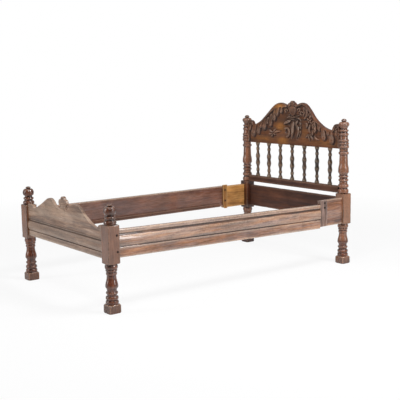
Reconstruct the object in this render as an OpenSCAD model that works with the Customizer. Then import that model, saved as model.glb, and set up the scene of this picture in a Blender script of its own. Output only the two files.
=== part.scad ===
// Four-post bed frame: turned posts, moulded rails, a scalloped footboard
// and a spindle headboard under a carved board.
// X runs across the bed, Y along it with the head at +Y, Z up.
// The floor is Z = 0 and the origin is under the middle of the bed.

/* [Overall] */
// Distance between post centres across the bed
span_x = 1070; // [1000:10:1200]
// Distance between post centres along the bed
span_y = 2000; // [1900:10:2200]

/* [Posts] */
// Side of the square blocks on the posts
block = 80; // [76:1:84]
// Height of the square foot under the turning
foot_h = 52; // [46:1:62]
// Underside of the square block that takes the rails
block_bottom = 297; // [294:1:304]
// Top of that block on the foot posts
foot_block_top = 530; // [526:1:540]
// Top of that block on the head posts
head_block_top = 522; // [515:1:528]
// Height of the foot posts
foot_post_h = 653; // [645:1:690]
// Height of the head posts
head_post_h = 1068; // [1055:1:1090]

/* [Rails] */
// Thickness of the rail boards behind their mouldings
rail_t = 28; // [26:1:32]
// Height of the side rails
rail_h = 170; // [166:1:174]
// How far the rails' outer faces stand back from the posts
setback = 15; // [12:1:17]
// How far the half-round stands proud of a side rail
torus_out = 10; // [6:1:12]
// Drop of the right rail from the foot to the splice
right_rail_drop = 36; // [0:4:36]
// Where both old rails end and the new lengths begin
splice_y = 734; // [700:2:760]

/* [Footboard] */
// Thickness of the scalloped board
crest_t = 20; // [16:1:24]

/* [Headboard] */
// Thickness of the carved board behind its carving
panel_t = 20; // [18:1:24]
// Underside of the carved board
panel_bottom = 848; // [844:1:856]
// How far the carved leaves stand proud of the board
leaf_out = 15; // [8:1:17]
// Number of turned spindles
spindle_count = 7; // [5:2:9]

/* [Hidden] */

$fn = 48;

dark_walnut = "#4a2f25";
old_oak = "#8f7362";
old_inside = "#5e4038";
new_pine = "#a8733f";
grey_oak = "#8a756a";
iron = "#3a3532";

// Faces and centre planes that the pieces are set out from
post_x = span_x / 2;
post_y = span_y / 2;
half = block / 2;
inner_x = post_x - half;
inner_y = post_y - half;
rail_out_x = post_x + half - setback;
rail_in_x = rail_out_x - rail_t;
foot_face_y = -(post_y + half - setback);
head_face_y = post_y + half - setback;
panel_front = post_y - panel_t / 2;
panel_back = post_y + panel_t / 2;
panel_end_x = inner_x + 10;
horn_top = [1030, 1030];

// How the square parts' corners are eased along the post and cut back at the ends
foot_arris = 7;
foot_shoulder = 11;
block_arris = 2;
block_shoulder = 5;

// Lowest and highest points of the pieces that join the posts.
// Pairs run left, right.
foot_rail_z = [320, 437];
head_rail_z = [318, 488];
spindle_rail_z = [520, 573];
spindle_rail_t = 34;
rail_low = [328, 329];
rail_drop = [0, right_rail_drop];
extension_z = [[317, 493], [304, 494]];
cleat_z = [[313, 507], [298, 488]];
rail_run = splice_y + inner_y;

// Tenons: thickness, length, clearance all round, heights and centre planes
tenon_t = 14;
thin_tenon_t = 10;
tenon_len = 34;
fit = 0.2;
eps = 0.01;
side_tenon_x = (rail_out_x + rail_in_x) / 2;
side_tenon_foot_z = [352, 484];
side_tenon_head_z = [332, 470];
foot_rail_y = foot_face_y + rail_t / 2;
foot_rail_tenon_z = [339, 425];
crest_y = foot_face_y + crest_t / 2;
crest_tenon_z = [452, 506];
head_rail_y = head_face_y - rail_t / 2;
head_rail_tenon_z = [339, 470];
spindle_rail_tenon_z = [532, 562];
board_tenon_z = [872, 980];
board_tenon_end = panel_end_x + 16;

// Round pegs across the side rails' foot tenons, along and up
peg_r = 7;
peg_places = [[-post_y + 20, 468], [-post_y + 24, 369]];
peg_inner_x = rail_in_x - 8;
peg_sink = 3;

// Splice: tongue on the old rail, plate outside, batten inside, bolts
tongue_t = 10;
tongue_len = 66;
tongue_z = [25, 155];
tongue_x = rail_in_x + 12;
plate_t = 5;
plate_proud = 1;
plate_len = 66;
plate_bow = 6;
cleat_w = 44;
cleat_t = 12;
cleat_snip = [16, 36];
bolt_y = [splice_y + 10, splice_y + 44];
bolt_z = [[465, 377], [474, 440]];
bolt_r = 4;
bolt_head_r = 8;
nut_across = 13;
nut_t = 6.5;
nut_pocket_r = 8.5;

// Ledger strips nailed inside the side rails
ledger_h = 26;
ledger_t = 22;
ledger_start = 6;
ledger_lift = 4;
ledger_run = rail_run - 60;
nail_r = 2;
nail_head_r = 4.8;
nail_bite = 14;
nail_count = 6;
nail_end = 60;

// Spindles: pins at their ends and where they stand
spindle_pin_r = 7;
spindle_pin_len = 17;
function spindle_x(i) = (i - (spindle_count + 1) / 2) * span_x / (spindle_count + 1);

// ---------------------------------------------------------------- turning
// A turning is a list of cuts made from the bottom up. Each cut is
// [kind, height, radius at its end, radius at its middle].
//   flat  : a step to the new radius, then straight
//   sweep : an S-shaped run from the last radius to the new one
//   bead  : a half-round swelling, or a cove if its middle is thinner

function bead_points(z, r, cut, n = 8) =
    [for (i = [1:n])
        let (a = 180 * i / n, base = r + (cut[2] - r) * i / n)
        [base + (cut[3] - (r + cut[2]) / 2) * sin(a), z + cut[1] * (1 - cos(a)) / 2]];

function sweep_points(z, r, cut, n = 8) =
    [for (i = [1:n])
        [r + (cut[2] - r) * (1 - cos(180 * i / n)) / 2, z + cut[1] * i / n]];

function cut_points(z, r, cut) =
    cut[0] == "flat" ? [[cut[2], z], [cut[2], z + cut[1]]]
    : cut[0] == "sweep" ? sweep_points(z, r, cut)
    : bead_points(z, r, cut);

function turn(cuts, z, r, i = 0) =
    i == len(cuts) ? []
    : concat(cut_points(z, r, cuts[i]), turn(cuts, z + cuts[i][1], cuts[i][2], i + 1));

function run_of(cuts, i = 0) = i == len(cuts) ? 0 : cuts[i][1] + run_of(cuts, i + 1);

// Outline of a turning whose cuts are stretched to fill low to high
function turn_between(cuts, low, high) =
    let (k = (high - low) / run_of(cuts))
    turn([for (c = cuts) [c[0], c[1] * k, c[2], c[3]]], low, 0);

// A turning, run on by lap into the square parts below and above it
module turned(cuts, low, high, lap_below, lap_above) {
    outline = turn_between(cuts, low, high);
    last = outline[len(outline) - 1][0];
    rotate_extrude()
        polygon(concat(
            [[0, low - lap_below], [outline[0][0], low - lap_below]], outline,
            lap_above > 0 ? [[last, high + lap_above]] : [], [[0, high + lap_above]]));
}

// From the square foot up to the block, the same on all four posts
leg_cuts = [
    ["flat", 2, 38],
    ["bead", 22, 35, 39.5],
    ["bead", 6, 35, 34],
    ["bead", 20, 33, 38.8],
    ["bead", 13, 33, 31.3],
    ["bead", 14, 32, 36.3],
    ["bead", 12, 31, 30.3],
    ["sweep", 20, 39],
    ["sweep", 58, 29.3],
    ["sweep", 9, 29],
    ["bead", 17, 31, 33],
    ["bead", 5, 31.5, 30.5],
    ["bead", 13, 34, 35],
    ["bead", 3, 35, 34],
    ["bead", 22, 37, 39.3],
    ["flat", 9, 38]];

// Short finial over the foot block
foot_finial_cuts = [
    ["flat", 2, 35],
    ["bead", 22, 32, 38.5],
    ["bead", 9, 30, 30],
    ["bead", 17, 28, 34.5],
    ["bead", 10, 27, 26.5],
    ["bead", 48, 20, 37.5],
    ["flat", 3, 15],
    ["bead", 12, 2, 16.5]];

// Tall turning over the head block, with its vases, urn and button
head_finial_cuts = [
    ["flat", 2, 37],
    ["bead", 28, 35, 38.5],
    ["bead", 12, 33, 31.5],
    ["bead", 25, 33, 38.5],
    ["bead", 22, 31, 30],
    ["bead", 15, 32, 36.5],
    ["bead", 13, 31, 30.5],
    ["bead", 13, 32, 36],
    ["bead", 12, 32, 30.5],
    ["sweep", 15, 39],
    ["sweep", 20, 38.3],
    ["sweep", 45, 31.8],
    ["sweep", 55, 30],
    ["sweep", 8, 32],
    ["bead", 20, 32, 37.5],
    ["bead", 25, 33, 31],
    ["bead", 21, 35.5, 38.5],
    ["flat", 6, 35.5],
    ["bead", 14, 35, 38.2],
    ["bead", 8, 35, 34.5],
    ["bead", 15, 33, 37.3],
    ["bead", 28, 31, 29.8],
    ["bead", 18, 29.5, 35],
    ["bead", 11, 29, 28.3],
    ["bead", 15, 28.5, 34],
    ["bead", 9, 27, 25.5],
    ["sweep", 27, 38.3],
    ["bead", 20, 20, 36.5],
    ["flat", 2, 17.5],
    ["bead", 20, 2, 18.5]];

// Lower half of a spindle; the upper half mirrors it
spindle_cuts = [
    ["flat", 4, 17.5],
    ["sweep", 28, 11],
    ["flat", 7, 10.8],
    ["bead", 24, 11, 14],
    ["flat", 12, 10.8],
    ["sweep", 34, 17.5],
    ["sweep", 28, 13.8]];

// ------------------------------------------------------------- small tools
// What comes in pairs is drawn on the right; side 0 mirrors it to the left
module on_side(side) {
    if (side == 0) mirror([1, 0, 0]) children();
    else children();
}

module on_both_sides() {
    for (side = [0, 1]) on_side(side) children();
}

// Box from its low corner to its high corner
module span_box(low, high) {
    translate(low) cube(high - low);
}

// Section drawn in X and Z, run along +Y
module along_y(section, length) {
    rotate([90, 0, 0]) mirror([0, 0, 1])
        linear_extrude(height = length) polygon(section);
}

// Outline drawn in X and Z, given depth between two Y planes
module slab(front, back) {
    rotate([90, 0, 0]) translate([0, 0, -back])
        linear_extrude(height = back - front) children();
}

// Outline drawn in Y and Z, given depth between two X planes
module side_slab(low_x, high_x) {
    rotate([90, 0, 90]) translate([0, 0, low_x])
        linear_extrude(height = high_x - low_x) children();
}

// Smooth run through a few points
function blend(a, b, c, d, t) =
    (2 * b + (c - a) * t + (2 * a - 5 * b + 4 * c - d) * t * t
     + (3 * b - a - 3 * c + d) * t * t * t) / 2;
function smooth(p, n = 5) = concat(
    [for (i = [0:len(p) - 2], k = [0:n - 1])
        blend(p[max(i - 1, 0)], p[i], p[i + 1], p[min(i + 2, len(p) - 1)], k / n)],
    [p[len(p) - 1]]);

// The boards' half outlines are drawn for posts this far from the middle
drawn_half = 495;
function widened(p) = [for (q = p) [q[0] * inner_x / drawn_half, q[1]]];
function flipped(p) = [for (i = [len(p) - 1:-1:0]) [-p[i][0], p[i][1]]];

// -------------------------------------------------------- mortise and tenon
// Tenons on both ends of a piece that runs across the bed
module cross_tenons(y, t, z, start = inner_x, end = inner_x + tenon_len) {
    on_both_sides()
        span_box([start - eps, y - t / 2, z[0]], [end, y + t / 2, z[1]]);
}

// Room for one in a right-hand post
module cross_mortise(y, t, z, end = inner_x + tenon_len) {
    span_box([inner_x - 1, y - (t + fit) / 2, z[0] - fit / 2],
             [end + fit, y + (t + fit) / 2, z[1] + fit / 2]);
}

// Tenon of a side rail, at the foot (-1) or the head (1), or the room for it
module side_tenon(end, z, gap = 0) {
    near = inner_y - (gap > 0 ? 1 : eps);
    far = inner_y + tenon_len + gap;
    span_box([side_tenon_x - tenon_t / 2 - gap, end > 0 ? near : -far, z[0] - gap],
             [side_tenon_x + tenon_t / 2 + gap, end > 0 ? far : -near, z[1] + gap]);
}

// ------------------------------------------------------------------- posts
// Square part of a post with eased arrises; the lathe has cut back the
// corners at its ends by low_cut and high_cut
module square_part(low, high, arris, low_cut, high_cut) {
    corner = half * sqrt(2);
    intersection() {
        translate([-half, -half, low]) cube([block, block, high - low]);
        rotate([0, 0, 45])
            translate([arris / 2 - corner, arris / 2 - corner, low])
            cube([2 * corner - arris, 2 * corner - arris, high - low]);
        rotate_extrude()
            polygon([[0, low], [corner - low_cut, low], [corner, low + low_cut],
                     [corner, high - high_cut], [corner - high_cut, high], [0, high]]);
    }
}

// Square foot, turned leg, square block and turned top
module post_blank(y, block_top, top_cuts, top) {
    lap = 4;
    translate([post_x, y, 0]) {
        square_part(0, foot_h, foot_arris, foot_arris, foot_shoulder);
        turned(leg_cuts, foot_h, block_bottom, lap, lap);
        square_part(block_bottom, block_top, block_arris, block_shoulder, block_shoulder);
        turned(top_cuts, block_top, top, lap, 0);
    }
}

module foot_post(side) {
    color(dark_walnut)
    on_side(side)
    difference() {
        post_blank(-post_y, foot_block_top, foot_finial_cuts, foot_post_h);
        side_tenon(-1, side_tenon_foot_z, fit / 2);
        cross_mortise(foot_rail_y, tenon_t, foot_rail_tenon_z);
        cross_mortise(crest_y, thin_tenon_t, crest_tenon_z);
        peg_holes();
    }
}

module head_post(side) {
    color(dark_walnut)
    on_side(side)
    difference() {
        post_blank(post_y, head_block_top, head_finial_cuts, head_post_h);
        side_tenon(1, side_tenon_head_z, fit / 2);
        cross_mortise(head_rail_y, tenon_t, head_rail_tenon_z);
        spindle_rail_body(fit / 2);
        cross_mortise(post_y, tenon_t, spindle_rail_tenon_z);
        span_box([inner_x - half, panel_front, panel_bottom],
                 [panel_end_x + fit, panel_back, horn_top[side]]);
        cross_mortise(post_y, thin_tenon_t, board_tenon_z, board_tenon_end);
    }
}

module foot_post_left() { foot_post(0); }
module foot_post_right() { foot_post(1); }
module head_post_left() { head_post(0); }
module head_post_right() { head_post(1); }

module peg_holes() {
    for (p = peg_places)
        translate([peg_inner_x, p[0], p[1]])
            rotate([0, 90, 0]) cylinder(r = peg_r, h = block + half);
}

// Round pegs, cut off just below the face of the post
module rail_pegs() {
    color(dark_walnut)
    on_both_sides()
        for (p = peg_places)
            translate([peg_inner_x, p[0], p[1]])
                rotate([0, 90, 0])
                cylinder(r = peg_r - 0.05, h = post_x + half - peg_sink - peg_inner_x);
}

// ------------------------------------------------------------- side rails
// Bands of the side rails' moulding, as heights over their underside
fascia_h = 60;
round_z = [67, 133];
cove_z = [134, 148];
// The same for the foot rail, which has no band over its half-round
foot_fascia_h = 35;
foot_round_z = [41, 104];
foot_round_out = 7;
// Eased edges, and how deep the quirks are cut
ease = 2;
quirk = 4;

// Sections: first number outward from the back face, second upward
function fascia(h) =
    [[0, 0], [rail_t - ease, 0], [rail_t, ease], [rail_t, h], [rail_t - quirk, h + 3]];
function half_round(z, out, n = 14) =
    [for (i = [0:n])
        let (a = 180 * i / n)
        [rail_t - quirk + (out + quirk) * sin(a), z[0] + (z[1] - z[0]) * (1 - cos(a)) / 2]];
function cove(z, n = 6) =
    [for (i = [1:n]) [rail_t - (quirk + 1) * sin(180 * i / n), z[0] + (z[1] - z[0]) * i / n]];

function rail_section(h) = concat(
    fascia(fascia_h), half_round(round_z, torus_out), cove(cove_z),
    [[rail_t, h - 2 * ease], [rail_t - ease, h], [0, h]]);
function foot_rail_section(h) = concat(
    fascia(foot_fascia_h), half_round(foot_round_z, foot_round_out),
    [[rail_t - quirk, h], [0, h]]);

// Sets children on the inner face of a rail, which may slope
module on_rail(side) {
    translate([rail_in_x, -inner_y, rail_low[side]])
        rotate([-atan(rail_drop[side] / rail_run), 0, 0]) children();
}

// Moulded rail with its foot tenon and the tongue of the splice
module side_rail(side) {
    spare = 20;
    color(old_oak)
    on_side(side)
    difference() {
        union() {
            intersection() {
                on_rail(side)
                    translate([0, -spare, 0]) along_y(rail_section(rail_h), rail_run + 2 * spare);
                span_box([rail_in_x - spare, -inner_y, block_bottom - spare],
                         [rail_out_x + spare, splice_y, foot_block_top]);
            }
            side_tenon(-1, side_tenon_foot_z);
            splice_tongue(side, 0);
        }
        peg_holes();
        bolt_holes(side);
        nails(side);
    }
}
module side_rail_left() { side_rail(0); }
module side_rail_right() { side_rail(1); }

// ---------------------------------------------------------------- splices
// Tongue on the old rail that the new length is slotted over
module splice_tongue(side, gap) {
    low = rail_low[side] - rail_drop[side];
    span_box([tongue_x - tongue_t / 2 - gap, splice_y - eps - gap, low + tongue_z[0] - gap],
             [tongue_x + tongue_t / 2 + gap, splice_y + tongue_len + gap, low + tongue_z[1] + gap]);
}

// Plain new length between the old rail and the head post
module rail_extension(side) {
    z = extension_z[side];
    color(side == 0 ? new_pine : old_oak)
    on_side(side)
    difference() {
        union() {
            span_box([rail_in_x, splice_y, z[0]], [rail_out_x, inner_y, z[1]]);
            side_tenon(1, side_tenon_head_z);
        }
        splice_tongue(side, fit / 2);
        splice_plate_body(side);
        bolt_holes(side);
    }
}
module rail_extension_left() { rail_extension(0); }
module rail_extension_right() { rail_extension(1); }

// Cover plate let into the outside of the splice, with a bowed end
module splice_plate_body(side) {
    z = extension_z[side];
    steps = 10;
    side_slab(rail_out_x - plate_t, rail_out_x + plate_proud)
        polygon(concat(
            [[splice_y, z[0]]],
            [for (k = [0:steps]) [splice_y + plate_len + plate_bow * sin(180 * k / steps),
                                  z[0] + (z[1] - z[0]) * k / steps]],
            [[splice_y, z[1]]]));
}
module splice_plate(side) {
    color(grey_oak)
    on_side(side)
    difference() {
        splice_plate_body(side);
        bolt_holes(side);
    }
}
module splice_plate_left() { splice_plate(0); }
module splice_plate_right() { splice_plate(1); }

// Batten across the inside of the splice, one lower corner snipped off
module splice_cleat(side) {
    low = cleat_z[side][0];
    high = cleat_z[side][1];
    start = bolt_y[side] - cleat_w / 2;
    color(side == 0 ? grey_oak : old_inside)
    on_side(side)
    difference() {
        side_slab(rail_in_x - cleat_t, rail_in_x)
            polygon([[start, low + cleat_snip[1]], [start + cleat_snip[0], low], [start + cleat_w, low],
                     [start + cleat_w, high], [start, high]]);
        bolt_holes(side);
        nut_pockets(side);
    }
}
module splice_cleat_left() { splice_cleat(0); }
module splice_cleat_right() { splice_cleat(1); }

// Bolts through plate, new length, tongue and batten
module at_bolts(side) {
    for (z = bolt_z[side])
        translate([0, bolt_y[side], z]) rotate([0, 90, 0]) children();
}
module bolt_holes(side) {
    at_bolts(side)
        translate([0, 0, rail_in_x - block]) cylinder(r = bolt_r + fit, h = 2 * block);
}
module nut_pockets(side) {
    at_bolts(side)
        translate([0, 0, rail_in_x - cleat_t - 1]) cylinder(r = nut_pocket_r, h = nut_t + 1);
}
module bolt() {
    end = rail_in_x - cleat_t + 0.5;
    under_head = rail_out_x + plate_proud;
    translate([0, 0, end]) cylinder(r = bolt_r, h = under_head - end);
    translate([0, 0, under_head])
        rotate_extrude()
        polygon([[0, 0], [bolt_head_r, 0], [bolt_head_r, 1.5], [bolt_head_r - 1, 3.2],
                 [bolt_head_r / 2, 4.6], [0, 5]]);
}
module nut() {
    translate([0, 0, rail_in_x - cleat_t + fit])
    difference() {
        cylinder(d = nut_across / cos(30), h = nut_t - fit, $fn = 6);
        translate([0, 0, -1]) cylinder(r = bolt_r + 0.05, h = nut_t + 2);
    }
}
module splice_bolts() {
    color(iron)
    for (side = [0, 1]) on_side(side) at_bolts(side) bolt();
}
module splice_nuts() {
    color(iron)
    for (side = [0, 1]) on_side(side) at_bolts(side) nut();
}

// ------------------------------------------------------------ slat ledgers
module nails(side) {
    on_rail(side)
        for (k = [0:nail_count - 1])
            translate([-ledger_t, nail_end + (ledger_run - 2 * nail_end) * k / (nail_count - 1),
                       ledger_lift + ledger_h / 2])
                rotate([0, 90, 0]) {
                    cylinder(r = nail_r, h = ledger_t + nail_bite);
                    translate([0, 0, -nail_r]) cylinder(r = nail_head_r, h = nail_r);
                }
}
module slat_ledger(side) {
    color(old_inside)
    on_side(side)
    difference() {
        on_rail(side)
            translate([-ledger_t, ledger_start, ledger_lift]) cube([ledger_t, ledger_run, ledger_h]);
        nails(side);
    }
}
module slat_ledger_left() { slat_ledger(0); }
module slat_ledger_right() { slat_ledger(1); }
module ledger_nails() {
    color(iron)
    for (side = [0, 1]) on_side(side) nails(side);
}

// --------------------------------------------------------------- footboard
// Moulded rail that carries the scalloped board
module foot_rail() {
    color(old_oak)
    difference() {
        union() {
            translate([-inner_x, foot_face_y + rail_t, foot_rail_z[0]])
                rotate([0, 0, -90])
                along_y(foot_rail_section(foot_rail_z[1] - foot_rail_z[0]), 2 * inner_x);
            cross_tenons(foot_rail_y, tenon_t, foot_rail_tenon_z);
        }
        crest_tongue(fit / 2);
    }
}

// Tongue under the scalloped board, in a groove of the foot rail
module crest_tongue(gap) {
    short_of_posts = 30;
    depth = 9;
    end = inner_x - short_of_posts + gap;
    t = crest_t / 2 - ease + 2 * gap;
    span_box([-end, crest_y - t / 2, foot_rail_z[1] - depth - gap],
             [end, crest_y + t / 2, foot_rail_z[1] + eps + gap]);
}

// Half outlines of the scallop, cut by eye, from the notch by the middle
// flower out to the dip: distance from the middle, height
scallop_right = [[46, 557], [66, 570], [92, 595], [140, 606], [196, 604], [236, 583],
                 [281, 550], [327, 526], [374, 507], [412, 494]];
scallop_left = [[50, 557], [92, 563], [126, 592], [152, 608], [190, 611], [234, 592],
                [277, 570], [320, 550], [365, 530], [402, 517]];
// Rounded ears beside the posts
ear_right = [[412, 494], [424, 496], [434, 508], [454, 520], [495, 526]];
ear_left = [[402, 517], [414, 520], [424, 532], [440, 539], [495, 540]];

module foot_crest_board() {
    color(old_oak) {
        slab(foot_face_y, foot_face_y + crest_t) {
            polygon(concat(
                [[-inner_x, foot_rail_z[1]]],
                flipped(widened(concat(smooth(scallop_left), smooth(ear_left, 4)))),
                widened(concat(smooth(scallop_right), smooth(ear_right, 4))),
                [[inner_x, foot_rail_z[1]]]));
            foot_flower();
        }
        crest_tongue(0);
        cross_tenons(crest_y, thin_tenon_t, crest_tenon_z);
    }
}

// Three-lobed flower in the middle of the scallop: across, up, radius
flower_lobes = [[0, 618, 23], [-29, 600, 22], [29, 600, 22]];
flower_stem = [66, 70];
flower_foot = 540;
module foot_flower() {
    for (lobe = flower_lobes) translate([lobe[0], lobe[1]]) circle(r = lobe[2]);
    translate([-flower_stem[0] / 2, flower_foot]) square(flower_stem);
}

// ---------------------------------------------------------------- headboard
// Plain rail at mattress height
module head_rail() {
    color(old_inside) {
        span_box([-inner_x, head_face_y - rail_t, head_rail_z[0]], [inner_x, head_face_y, head_rail_z[1]]);
        cross_tenons(head_rail_y, tenon_t, head_rail_tenon_z);
    }
}

// Section of the rail under the spindles, with rounded edges
function round_bar(t, h, r, n = 6) =
    [for (corner = [0:3], i = [0:n])
        let (a = 90 * corner + 90 * i / n - 90)
        [(corner < 2 ? 1 : -1) * (t / 2 - r) + r * cos(a),
         (corner == 1 || corner == 2 ? 1 : -1) * (h / 2 - r) + r * sin(a)]];

module spindle_rail_body(gap) {
    length = 2 * (panel_end_x + gap);
    t = spindle_rail_t + 2 * gap;
    h = spindle_rail_z[1] - spindle_rail_z[0] + 2 * gap;
    corner_r = 9;
    translate([-length / 2, post_y, (spindle_rail_z[0] + spindle_rail_z[1]) / 2])
        rotate([0, 0, -90])
        along_y(round_bar(t, h, corner_r), length);
}

module spindle_rail() {
    color(dark_walnut)
    difference() {
        union() {
            spindle_rail_body(0);
            cross_tenons(post_y, tenon_t, spindle_rail_tenon_z, panel_end_x);
        }
        spindle_holes(spindle_rail_z[1] - spindle_pin_len);
    }
}

// Holes for the spindles' pins, from z up
module spindle_holes(z) {
    for (i = [1:spindle_count])
        translate([spindle_x(i), post_y, z - 0.5])
            cylinder(r = spindle_pin_r + 0.05, h = spindle_pin_len + 1);
}

// Double-vase spindle, pinned into the rail below and the board above
module spindle(i) {
    foot = spindle_rail_z[1];
    middle = (foot + panel_bottom) / 2;
    low_half = turn_between(spindle_cuts, foot, middle);
    high_half = [for (k = [len(low_half) - 2:-1:0]) [low_half[k][0], 2 * middle - low_half[k][1]]];
    color(dark_walnut)
        translate([spindle_x(i), post_y, 0])
        rotate_extrude()
        polygon(concat(
            [[0, foot - spindle_pin_len], [spindle_pin_r, foot - spindle_pin_len], [spindle_pin_r, foot]],
            low_half, high_half,
            [[spindle_pin_r, panel_bottom], [spindle_pin_r, panel_bottom + spindle_pin_len],
             [0, panel_bottom + spindle_pin_len]]));
}

// Half outlines of the carved board from the crest notch out to the dip
crest_right = [[58, 1160], [85, 1169], [122, 1178], [163, 1162], [207, 1120], [250, 1069],
               [291, 1034], [333, 1007], [373, 990], [418, 979]];
crest_left = [[58, 1160], [85, 1169], [120, 1176], [165, 1165], [205, 1141], [252, 1102],
              [300, 1062], [348, 1026], [400, 1002], [430, 995]];
// Rolled ears beside the posts
horn_right = [[418, 979], [434, 985], [444, 1005], [462, 1024], [495, horn_top[1]]];
horn_left = [[430, 995], [442, 1001], [449, 1015], [464, 1026], [495, horn_top[0]]];

// Half outline of one side, on into its housing in the post
function board_edge(side) =
    let (edge = side == 1 ? concat(smooth(crest_right), smooth(horn_right, 4))
                          : concat(smooth(crest_left), smooth(horn_left, 4)))
    concat(widened(edge), [[panel_end_x, horn_top[side]]]);

module board_outline() {
    polygon(concat(
        [[-panel_end_x, panel_bottom]], flipped(board_edge(0)),
        board_edge(1), [[panel_end_x, panel_bottom]]));
}

module carved_headboard() {
    color(dark_walnut)
    difference() {
        union() {
            difference() {
                slab(panel_front, panel_back) board_outline();
                niche();
            }
            leaf_fringe();
            crown();
            volutes();
            for (leaf = concat(middle_leaves, sprig_leaves)) carved_leaf(leaf);
            for (berry = berries) carved_berry(berry);
            cross_tenons(post_y, thin_tenon_t, board_tenon_z, panel_end_x, board_tenon_end);
        }
        spindle_holes(panel_bottom);
    }
}

// Leaf tongues that hang from the top edge, cut by eye and not a pair:
// distance from the middle, height of the tip, half width
tongues_right = [[138, 1066, 17], [172, 1050, 18], [212, 1056, 18], [258, 955, 23], [305, 972, 20],
                 [350, 905, 24], [394, 940, 19], [430, 883, 27], [479, 940, 15]];
tongues_left = [[108, 1092, 16], [155, 1072, 21], [190, 1033, 22], [232, 988, 21], [270, 1003, 19],
                [308, 957, 26], [346, 968, 19], [378, 922, 23], [440, 900, 30], [480, 944, 14]];

// A tongue is turned about its own upright axis and sunk in the board
function tongue_outline(length, r, n = 6) = concat(
    [[0, -length]],
    [for (i = [1:n]) [r * sin(90 * i / n), -length + r * 1.5 * (1 - cos(90 * i / n))]],
    [[r * 0.86, 0], [0, 0]]);

module leaf_tongue(x, top, length, r) {
    // the hollow down its middle: shorter at the tip, radius, depth of its axis
    hollow = [0.6, 0.42, 0.16];
    difference() {
        translate([x, panel_front + r - leaf_out, top])
            rotate_extrude() polygon(tongue_outline(length, r));
        translate([x, panel_front - leaf_out - r * hollow[2], top + 1])
            rotate_extrude() polygon(tongue_outline(length - r * hollow[0], r * hollow[1]));
    }
}

module leaf_fringe() {
    for (side = [0, 1])
        intersection() {
            on_side(side)
                for (tongue = side == 1 ? tongues_right : tongues_left) {
                    x = tongue[0] * inner_x / drawn_half;
                    top = lookup(x, board_edge(side)) + tongue[2];
                    leaf_tongue(x, top, top - tongue[1], tongue[2]);
                }
            slab(panel_front - 2 * leaf_out, post_y) board_outline();
        }
}

// Hollow under the crown, scooped across the board
niche_x = [-46, 104];
niche_z = 1062;
niche_r = 60;
niche_depth = 6;
module niche() {
    translate([niche_x[0], panel_front + niche_depth - niche_r, niche_z])
        rotate([0, 90, 0]) cylinder(r = niche_r, h = niche_x[1] - niche_x[0]);
}

// Three-lobed crown on the edge, over a fluted fan
crown_out = 10;
crown_in = 4;
crown_lobes = [[3, 1166, 26], [-16, 1160, 17], [24, 1161, 19]];
fan_base = [4, 1108];
fan_flutes = 5;
flute_size = [8, 62];
fan_pitch = 15;
fan_splay = 6;
module crown() {
    slab(panel_front - crown_out, panel_back - crown_in)
        for (lobe = crown_lobes) translate([lobe[0], lobe[1]]) circle(r = lobe[2]);
    for (k = [0:fan_flutes - 1]) {
        out = k - (fan_flutes - 1) / 2;
        x = fan_base[0] + out * fan_pitch;
        carved_leaf([x, fan_base[1], x + out * fan_splay, fan_base[1] + flute_size[1], flute_size[0]]);
    }
}

// Rolled scrolls at both ends of the fan: across, up, radius.
// Each is a disc with a rolled rim and an eye, sized from its radius.
scrolls = [[-50, 1118, 13], [84, 1120, 13]];
scroll_rim = [0.7, 0.35];
scroll_eye = 0.4;
module volutes() {
    for (scroll = scrolls)
        translate([scroll[0], panel_front, scroll[1]]) rotate([90, 0, 0]) {
            cylinder(r = scroll[2], h = crown_out / 2);
            translate([0, 0, crown_out / 2]) {
                rotate_extrude()
                    translate([scroll[2] * scroll_rim[0], 0]) circle(r = scroll[2] * scroll_rim[1]);
                sphere(r = scroll[2] * scroll_eye);
            }
        }
}

// Carved leaves: where each begins, where its tip is, its half width.
// A tall leaf between two S-shaped ones, under leaves that sweep across the hollow
middle_leaves = [
    [30, 1070, -74, 1052, 11], [38, 1074, 104, 1048, 11], [-4, 1036, -68, 1002, 13],
    [24, 1030, 18, 900, 14], [62, 1022, 80, 958, 10], [80, 972, 50, 894, 10],
    [106, 1040, 101, 922, 8], [-14, 1006, -46, 946, 10], [-46, 962, -26, 892, 10]];
// Sprigs to both sides, and the berries at their hearts: across, up, radius
sprig_leaves = [
    [-206, 936, -244, 966, 9], [-206, 936, -189, 974, 9], [-206, 936, -228, 904, 9],
    [-206, 936, -158, 932, 9], [-170, 938, -112, 951, 5],
    [187, 1044, 208, 992, 9], [208, 996, 209, 906, 9], [206, 938, 164, 914, 9],
    [285, 956, 285, 895, 9]];
berries = [[-206, 936, 9], [207, 992, 9], [36, 1049, 8]];

// A leaf is turned about its own axis and sunk in the board, wide ones are hollowed
function leaf_run(leaf) = norm([leaf[2] - leaf[0], leaf[3] - leaf[1]]);
function leaf_outline(length, r, n = 6) = concat(
    [[0, 0]],
    [for (i = [1:n - 1]) [r * pow(sin(180 * i / n), 0.8), length * i / n]],
    [[0, length]]);

module carved_leaf(leaf) {
    r = leaf[4];
    length = leaf_run(leaf);
    hollowed_from = 10;
    translate([leaf[0], panel_front + max(r / 10, r - leaf_out), leaf[1]])
        rotate([0, atan2(leaf[2] - leaf[0], leaf[3] - leaf[1]), 0])
        difference() {
            rotate_extrude() polygon(leaf_outline(length, r));
            if (r >= hollowed_from)
                translate([0, -r * 1.1, length * 0.1])
                    rotate_extrude() polygon(leaf_outline(length * 0.8, r * 0.45));
        }
}

module carved_berry(berry) {
    translate([berry[0], panel_front - crown_out / 4, berry[1]]) sphere(r = berry[2]);
}

foot_post_left();
foot_post_right();
head_post_left();
head_post_right();
foot_rail();
foot_crest_board();
side_rail_left();
side_rail_right();
rail_extension_left();
rail_extension_right();
splice_plate_left();
splice_plate_right();
splice_cleat_left();
splice_cleat_right();
splice_bolts();
splice_nuts();
rail_pegs();
slat_ledger_left();
slat_ledger_right();
ledger_nails();
head_rail();
spindle_rail();
carved_headboard();
for (i = [1:spindle_count])
    spindle(i);
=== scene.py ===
import math

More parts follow.
